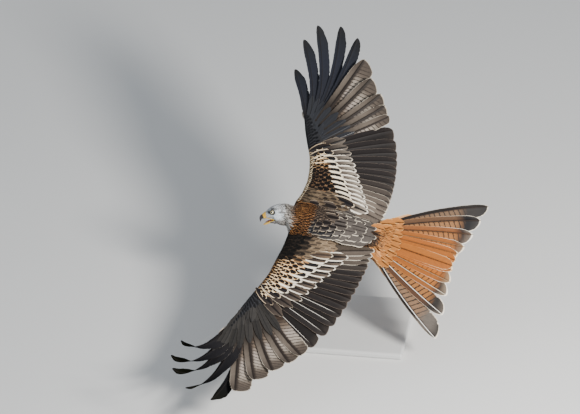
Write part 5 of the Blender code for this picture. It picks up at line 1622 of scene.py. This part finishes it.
def make_skin():
    """One skin of the whole bird: trunk, neck, wings, tail, shanks and a finer head with its lids."""
    angles = turns(72)
    parts = []
    rings = []
    for share in np.linspace(0, 1, 34):
        section, sizes = trunk_section(share)
        around = ring(section, *[s - COAT_DEPTH for s in sizes], angles)
        around[:, 1] = np.clip(around[:, 1], -0.05, 0.05)
        rings.append(around)
    parts.append(loft(rings))
    rings = []
    for t in np.linspace(0, 1, 16):
        section, sizes = neck_section(t)
        depth = mix(COAT_DEPTH, 0.003, t)
        rings.append(ring(section, *[s - depth for s in sizes], angles))
    rings.insert(0, rings[0] + np.array((0.012, 0, 0)))
    rings.append(mix(rings[-1].mean(0), rings[-1], 0.92) + np.array(HEAD_AHEAD) * 0.012)
    parts.append(loft(rings))
    parts += [wing_flesh(LEFT_WING), wing_flesh(RIGHT_WING), tail_flesh()]
    for side in (-1, 1):
        rows = [smooth(SHANK, t) for t in np.linspace(0, 1, 12)]
        parts.append(tube([(r[0], r[1] * side, r[2]) for r in rows], [r[3] - 0.0022 for r in rows], 24))
    body = remeshed("body", parts, BODY_VOXEL, 6)

    parts = []
    rings = []
    for share in np.linspace(0, 1, 60):
        section, sizes, _ = skull_section(share)
        rings.append(ring(section, *[s - HEAD_COAT_DEPTH for s in sizes], turns(96)))
    parts.append(loft(rings))
    rows = [smooth(JAW, t) for t in np.linspace(0, 1, 24)]
    rings = []
    for at, height, depth, wide in rows:
        deep = (depth - 0.6) * MM
        rings.append(ring(in_head(at, 0, height), (wide - 0.8) * MM, deep, deep, turns(48), 2.1))
    parts.append(loft(rings))
    cutters = []
    for side in (1, -1):
        forward, left, up = EYE
        at, radius, thick = LID
        frame = in_head(forward, side * at, up)
        parts.append(torus(frame, radius * MM, thick * MM))
        brow = [smooth(BROW, t) for t in np.linspace(0, 1, 9)]
        thickness = [mix(1.0, 2.2, math.sin(math.pi * t)) * MM for t in np.linspace(0, 1, 9)]
        parts.append(tube([in_head(b[0], side * b[1], b[2]).translation for b in brow], thickness, 14))
        hole = (EYE_RADIUS + 0.12) * MM
        cutters.append(ball(in_head(forward, side * left, up), (hole, hole, hole), 28, 32))
    head = remeshed("head", parts, HEAD_VOXEL, 3, cutters)

    both = bmesh.new()
    both.from_mesh(body)
    both.from_mesh(head)
    bmesh.ops.triangulate(both, faces=both.faces)
    tree = BVHTree.FromBMesh(both)
    skin = bpy.data.meshes.new("skin")
    both.to_mesh(skin)
    both.free()
    return skin, tree


def grow_coat(tree, plain):
    """Turns what was planted into meshes, one for each coat piece."""
    shapes = {
        "head_tufts": tuft_shape(5, np.linspace(0, 1, 5), LANCE, 0.8, 0.12, 0.16 * MM),
        "neck_hackles": tuft_shape(5, np.linspace(0, 1, 8), LANCE, 0.8, 0.08, 0.25 * MM),
        "scapulars": tuft_shape(9, np.linspace(0, 1, 14), COVERT, 1.0, 0.03, 0.4 * MM),
        "small": tuft_shape(7, np.linspace(0, 1, 8), COVERT, 1.0, 0.05, 0.3 * MM),
    }
    owners = {"head_tufts": (("head",), "head_plumage"), "neck_hackles": (("neck",), "body_plumage"),
              "back_feathers": (("torso",), "body_plumage"), "breast_feathers": (("torso",), "body_plumage"),
              "tail_base_feathers": (("tail",), "tail_plumage"), "scapulars": (("torso",), "body_plumage"),
              "trousers": (("leg_left", "leg_right"), "body_plumage"),
              "small_coverts_left": (("wing_left_arm", "wing_left_hand"), "wing_plumage"),
              "small_coverts_right": (("wing_right_arm", "wing_right_hand"), "wing_plumage")}
    for name, feathers in coat.items():
        shape = shapes.get(name, shapes["small"])
        stations = 10 if name == "scapulars" else 6
        lines = lay_over_skin(tree, feathers, stations)
        looks = np.array([f[4] for f in feathers])
        luck = 1 + chance.normal(0, 0.07, (len(looks), 1))
        colours = {"web": looks[:, 0:3] * luck, "rim": looks[:, 3:6] * luck, "mark": looks[:, 6:9],
                   "looks": looks[:, 9:12]}
        widths = np.array([(f[3], f[3]) for f in feathers])
        mesh = feather_mesh(name, lines, widths, shape, colours, [f[5] for f in feathers])
        nodes, slot = owners[name]
        piece(name, mesh, plain, nodes, sharp=60)


def colour_skin(skin, bvh):
    """Gives each point of the skin the web colour of the nearest feathers' roots."""
    planted = [(f[0], f[4][:3]) for feathers in coat.values() for f in feathers]
    trees = {True: KDTree(len(planted)), False: KDTree(len(planted))}
    for i, (root, _) in enumerate(planted):
        _, normal, _, _ = bvh.find_nearest(root)
        trees[normal.z > 0].insert(root, i)
    for tree in trees.values():
        tree.balance()
    colours = np.ones((len(skin.vertices), 4))
    inverse = HEAD.inverted()
    lining, lid = linear("5c2f33"), linear("221d1a")
    for i, vertex in enumerate(skin.vertices):
        _, nearest, _ = trees[vertex.normal.z > 0].find(vertex.co)
        # Down in the gaps between feathers lies in their shade.
        colour = planted[nearest][1] * 0.62
        local = inverse @ vertex.co / MM
        if -6 < local.x < 27 and abs(local.y) < 13 and -22.4 < local.z < -11.5:
            colour = lining
        if abs(local.y) > 15 and math.hypot(local.x - EYE[0], local.z - EYE[2]) < DARK_RING:
            colour = lid
        colours[i, :3] = colour
    kept = skin.attributes.new("coat", "FLOAT_COLOR", "POINT")
    kept.data.foreach_set("color", colours.astype(np.float32).ravel())


def make_eyes(material):
    """Eyeballs with a bulging cornea. Each point knows how far off the line of sight it is, and which way."""
    forward, left, up = EYE
    for name, side in (("eye_left", 1), ("eye_right", -1)):
        look = HEAD @ Matrix.Translation(Vector((forward, side * left, up)) * MM)
        look = look @ Matrix.Rotation(side * math.radians(GAZE_OUT), 4, "Z")
        look = look @ Matrix.Rotation(math.radians(GAZE_DIP), 4, "Y")
        lean = np.linspace(0.02, math.pi - 0.02, 72)
        angle = turns(64)
        cornea = np.clip(1 - (np.sin(lean) * EYE_RADIUS / CORNEA_RADIUS) ** 2, 0, 1) * (np.cos(lean) > 0)
        radius = EYE_RADIUS + CORNEA_BULGE * cornea
        rows = np.stack([np.cos(lean)[:, None] * radius[:, None] + 0 * angle,
                         np.sin(lean)[:, None] * radius[:, None] * np.cos(angle),
                         np.sin(lean)[:, None] * radius[:, None] * np.sin(angle)], -1)
        points, faces = loft(rows)
        mesh = mesh_of(name, [(in_frame(look, points * MM), faces)])
        away = np.where(points[:, 0] > 0, np.hypot(points[:, 1], points[:, 2]), 9.0)
        gaze = np.stack([away, np.arctan2(points[:, 2], points[:, 1]), 0 * away], -1)
        kept = mesh.attributes.new("gaze", "FLOAT_VECTOR", "POINT")
        kept.data.foreach_set("vector", gaze.astype(np.float32).ravel())
        piece(f"{name}_ball", mesh, material, (name,), sharp=80)


def bill_part(rows, count, sides):
    """A loft through sections of the bill: forward, height, half depth, half width, dip."""
    rows = [smooth(rows, t) for t in np.linspace(0, 1, count)]
    return loft([ring(in_head(r[0], 0, r[1], r[4]), r[3] * MM, r[2] * MM, r[2] * MM, turns(sides), 2.1)
                 for r in rows])


def make_bill(cere_skin, horn, yellow_horn, lining):
    """The cere with its nostrils, the hook, the lower mandible, the gape and the tongue."""
    holes = []
    for side in (1, -1):
        frame = in_head(32.4, side * 7.4, -3.0, -18)
        holes.append(ball(frame, (2.3 * MM, 1.7 * MM, 1.2 * MM), 20, 24))
    cere = remeshed("cere", [bill_part(CERE, 24, 64)], 0.45 * MM, 3, holes)
    piece("cere_wax", cere, cere_skin, ("cere",), sharp=50)
    piece("hook", mesh_of("hook", [bill_part(HOOK, 48, 48)]), horn, ("bill_upper",), sharp=50)
    lower = mesh_of("lower", [bill_part(LOWER_BILL, 36, 40)])
    piece("lower_mandible", lower, yellow_horn, ("bill_lower",), sharp=50)
    lips = []
    for side in (1, -1):
        for line in GAPE:
            spots = [smooth(line, t) for t in np.linspace(0, 1, 14)]
            radii = [mix(0.7, 1.25, math.sin(math.pi * t)) * MM for t in np.linspace(0, 1, 14)]
            lips.append(tube([in_head(s[0], side * s[1], s[2]).translation for s in spots], radii, 12))
    piece("gape", mesh_of("gape", lips), cere_skin, ("head",), sharp=60)
    tongue = mesh_of("tongue", [bill_part(TONGUE, 20, 24)])
    piece("tongue", tongue, lining, ("head",), sharp=60)


def arc(start, heading, length, bend, count):
    """Points along an arc that turns down evenly."""
    points = [start.copy()]
    sideways = heading.cross(UP).normalized()
    for i in range(count):
        turn = Matrix.Rotation(math.radians(-bend * (i + 0.5) / count), 3, sideways)
        points.append(points[-1] + (turn @ heading) * (length / count))
    return points


def make_feet(scaly, horn):
    """Bare tarsi and toes with scutes in rings, and curved claws."""
    for name, side in (("left", -1), ("right", 1)):
        mirror = Matrix.Diagonal((1, side, 1))
        last = mirror @ Vector(smooth(SHANK, 1)[:3])
        before = mirror @ Vector(SHANK[-2][:3])
        foot = mirror @ FOOT
        way = (foot - last).normalized()
        along = (last - before).normalized()
        line = [last - along * 0.004, last + along * 0.004 + way * 0.001, last.lerp(foot, 0.5), foot]
        spots = [smooth([tuple(p) for p in line], t) for t in np.linspace(0, 1, 60)]
        radii = []
        for t in np.linspace(0, 1, 60):
            radius = np.interp(t, (0, 0.33, 0.66, 1), (5.2, 4.4, 3.9, 4.6)) * MM
            radii.append(radius * (1 + 0.06 * abs(math.sin(30 * t))))
        heel = ball(Matrix.Translation(foot), (6.5 * MM, 5.5 * MM, 5.5 * MM), 24, 24)
        parts = [tube(spots, radii, 20), heel]
        claws, nodes = [], []
        for i, (spread, length) in enumerate(TOES):
            heading = Vector((0.97, 0, -0.24)).normalized()
            heading = Matrix.Rotation(math.radians(spread * side), 3, "Z") @ heading
            if i == 3:
                heading = Vector((-0.55, 0, -0.83))
            points = arc(foot, heading, length, 62, 44)
            # Each scute is a small swelling of the toe, and each joint a larger one.
            rounds = 2.4 * length / 0.03
            radii = []
            for k in range(45):
                scute = 0.09 * abs(math.sin(math.pi * rounds * 2 * k / 44))
                joint = 0.10 * math.sin(math.pi * rounds * k / 44) ** 8
                radii.append(mix(*TOE_RADIUS, k / 44) * (1 + scute + joint))
            parts.append(tube(points, radii, 16))
            ahead = (points[-1] - points[-2]).normalized()
            claw = arc(points[-1] - ahead * 0.0006, ahead, CLAW_LENGTH[i] + 0.0009, 62, 20)
            radii = [mix(2.35, 0.15, (k / 20) ** 1.25) * MM for k in range(21)]
            claws.append(tube(claw, radii, 16))
            nodes.append(f"claw_{name}_{i + 1}")
        foot_skin = remeshed("foot", parts, 0.7 * MM, 2)
        piece(f"foot_{name}_scutes", foot_skin, scaly, (f"foot_{name}",), 60)
        piece(f"claws_{name}", mesh_of("claws", claws), horn, nodes, sharp=60)


def dress_stand(paint, steel):
    """New finishes on the base board, the rod and its collar."""
    for name, material in (("stand_base", paint), ("stand_rod", steel), ("stand_collar", steel)):
        node = frame["nodes"][name]
        for at in node.material_slots:
            at.link = "OBJECT"
            at.material = material


# The photograph's view: the camera looks down on the bird from its left and a little behind.
# Its frame is 1.74 m wide at the bird.
VIEW_AZIMUTH = math.radians(8.0)
VIEW_ELEVATION = math.radians(32.0)
VIEW_DISTANCE = 60.0
VIEW_WIDTH = 1.74
SENSOR_WIDTH = 36.0
PICTURE = (580, 414)
BIRD_PIXEL = (340, 230)
FLOOR_REACH = 30.0


def make_view():
    """The camera, far off with a long lens, so that the bird's middle falls on its own pixel."""
    right = Vector((math.cos(VIEW_AZIMUTH), math.sin(VIEW_AZIMUTH), 0))
    back = Vector((math.sin(VIEW_AZIMUTH) * math.cos(VIEW_ELEVATION),
                   -math.cos(VIEW_AZIMUTH) * math.cos(VIEW_ELEVATION), math.sin(VIEW_ELEVATION)))
    up = back.cross(right)
    pixel = VIEW_WIDTH / PICTURE[0]
    across, down = (size / 2 - spot for size, spot in zip(PICTURE, BIRD_PIXEL))
    middle = Vector((0, 0, BODY_HEIGHT)) + right * across * pixel - up * down * pixel
    data = bpy.data.cameras.new("camera")
    data.sensor_fit = "HORIZONTAL"
    data.sensor_width = SENSOR_WIDTH
    data.lens = SENSOR_WIDTH * VIEW_DISTANCE / VIEW_WIDTH
    data.clip_end = 200.0
    camera = bpy.data.objects.new("camera", data)
    turn = Matrix((right, up, back)).transposed().to_4x4()
    camera.matrix_world = Matrix.Translation(middle + back * VIEW_DISTANCE) @ turn
    bpy.context.scene.collection.objects.link(camera)
    bpy.context.scene.camera = camera


def make_light(name, place, aim, size, power, warmth):
    """A round soft lamp that faces a point."""
    data = bpy.data.lights.new(name, "AREA")
    data.shape = "DISK"
    data.size = size
    data.energy = power
    data.color = warmth
    lamp = bpy.data.objects.new(name, data)
    turn = (Vector(aim) - Vector(place)).to_track_quat("-Z", "Y")
    lamp.matrix_world = Matrix.Translation(place) @ turn.to_matrix().to_4x4()
    bpy.context.scene.collection.objects.link(lamp)
    return lamp


def make_studio():
    """A pale floor, soft surrounding light, and a low raking key light from behind the bird's left side."""
    corners = [(x * FLOOR_REACH, y * FLOOR_REACH, 0.0) for x, y in ((-1, -1), (1, -1), (1, 1), (-1, 1))]
    mesh = mesh_of("floor", [(np.array(corners), [np.array(((0, 1, 2, 3),))])])
    mesh.materials.append(floor_material())
    floor = bpy.data.objects.new("floor", mesh)
    bpy.context.scene.collection.objects.link(floor)
    world = bpy.data.worlds.new("studio")
    world.use_nodes = True
    sky = world.node_tree.nodes["Background"]
    sky.inputs["Color"].default_value = (0.86, 0.92, 1.0, 1)
    sky.inputs["Strength"].default_value = 0.50
    bpy.context.scene.world = world
    middle = (0, 0, 0.4)
    make_light("key", (2.3, -2.05, 2.3), middle, 0.8, 245, (1.0, 0.975, 0.94))
    fill = make_light("fill", (-2.6, -2.4, 2.0), middle, 2.4, 22, (0.90, 0.95, 1.0))
    fill.visible_glossy = False


def main():
    """The view, the skin and its plumage, the large feathers, the bare parts and the stand, in that order."""
    make_view()
    make_studio()
    skin, tree = make_skin()
    plant_head()
    plant_neck()
    plant_trunk()
    plant_scapulars()
    plant_tail_base()
    plant_shanks()
    plant_wing(LEFT_WING, "left")
    plant_wing(RIGHT_WING, "right")
    plain = feather_material("contour_feather", 0.62, 0.12)
    web_vane = feather_material("flight_feather", 0.55, 0.14, flight=True)
    black_vane = feather_material("black_flight_feather", 0.55, 0.10, flight=True)
    glossy_vane = feather_material("glossy_black_covert_feather", 0.30, 0.65, flight=True)
    matt_vane = feather_material("worn_black_flight_feather", 0.9, 0.0, flight=True)
    grow_coat(tree, plain)
    colour_skin(skin, tree)
    flesh = ("head", "neck", "torso", "tail", "leg_left", "leg_right", "wing_left_arm", "wing_left_hand",
             "wing_right_arm", "wing_right_hand")
    piece("skin", skin, skin_material(), flesh, sharp=60)
    make_wing("left", LEFT_WING, web_vane, matt_vane, black_vane)
    make_wing("right", RIGHT_WING, web_vane, black_vane, glossy_vane)
    make_tail(web_vane)
    make_eyes(eye_material())
    horn = horn_material("bill_and_claw_horn", "1b191b", "39343a")
    yellow_horn = horn_material("lower_bill_yellow_horn", "b98e35", "d9b457")
    cere_skin = yellow_skin("cere_waxy_skin", "cf9c2c", "e6bd4a", 0.35)
    make_bill(cere_skin, horn, yellow_horn, mouth_material())
    make_feet(yellow_skin("foot_scaly_skin", "c08f2c", "e0b444", 0.45, 600.0), horn)
    dress_stand(board_paint(), brushed_steel())


main()
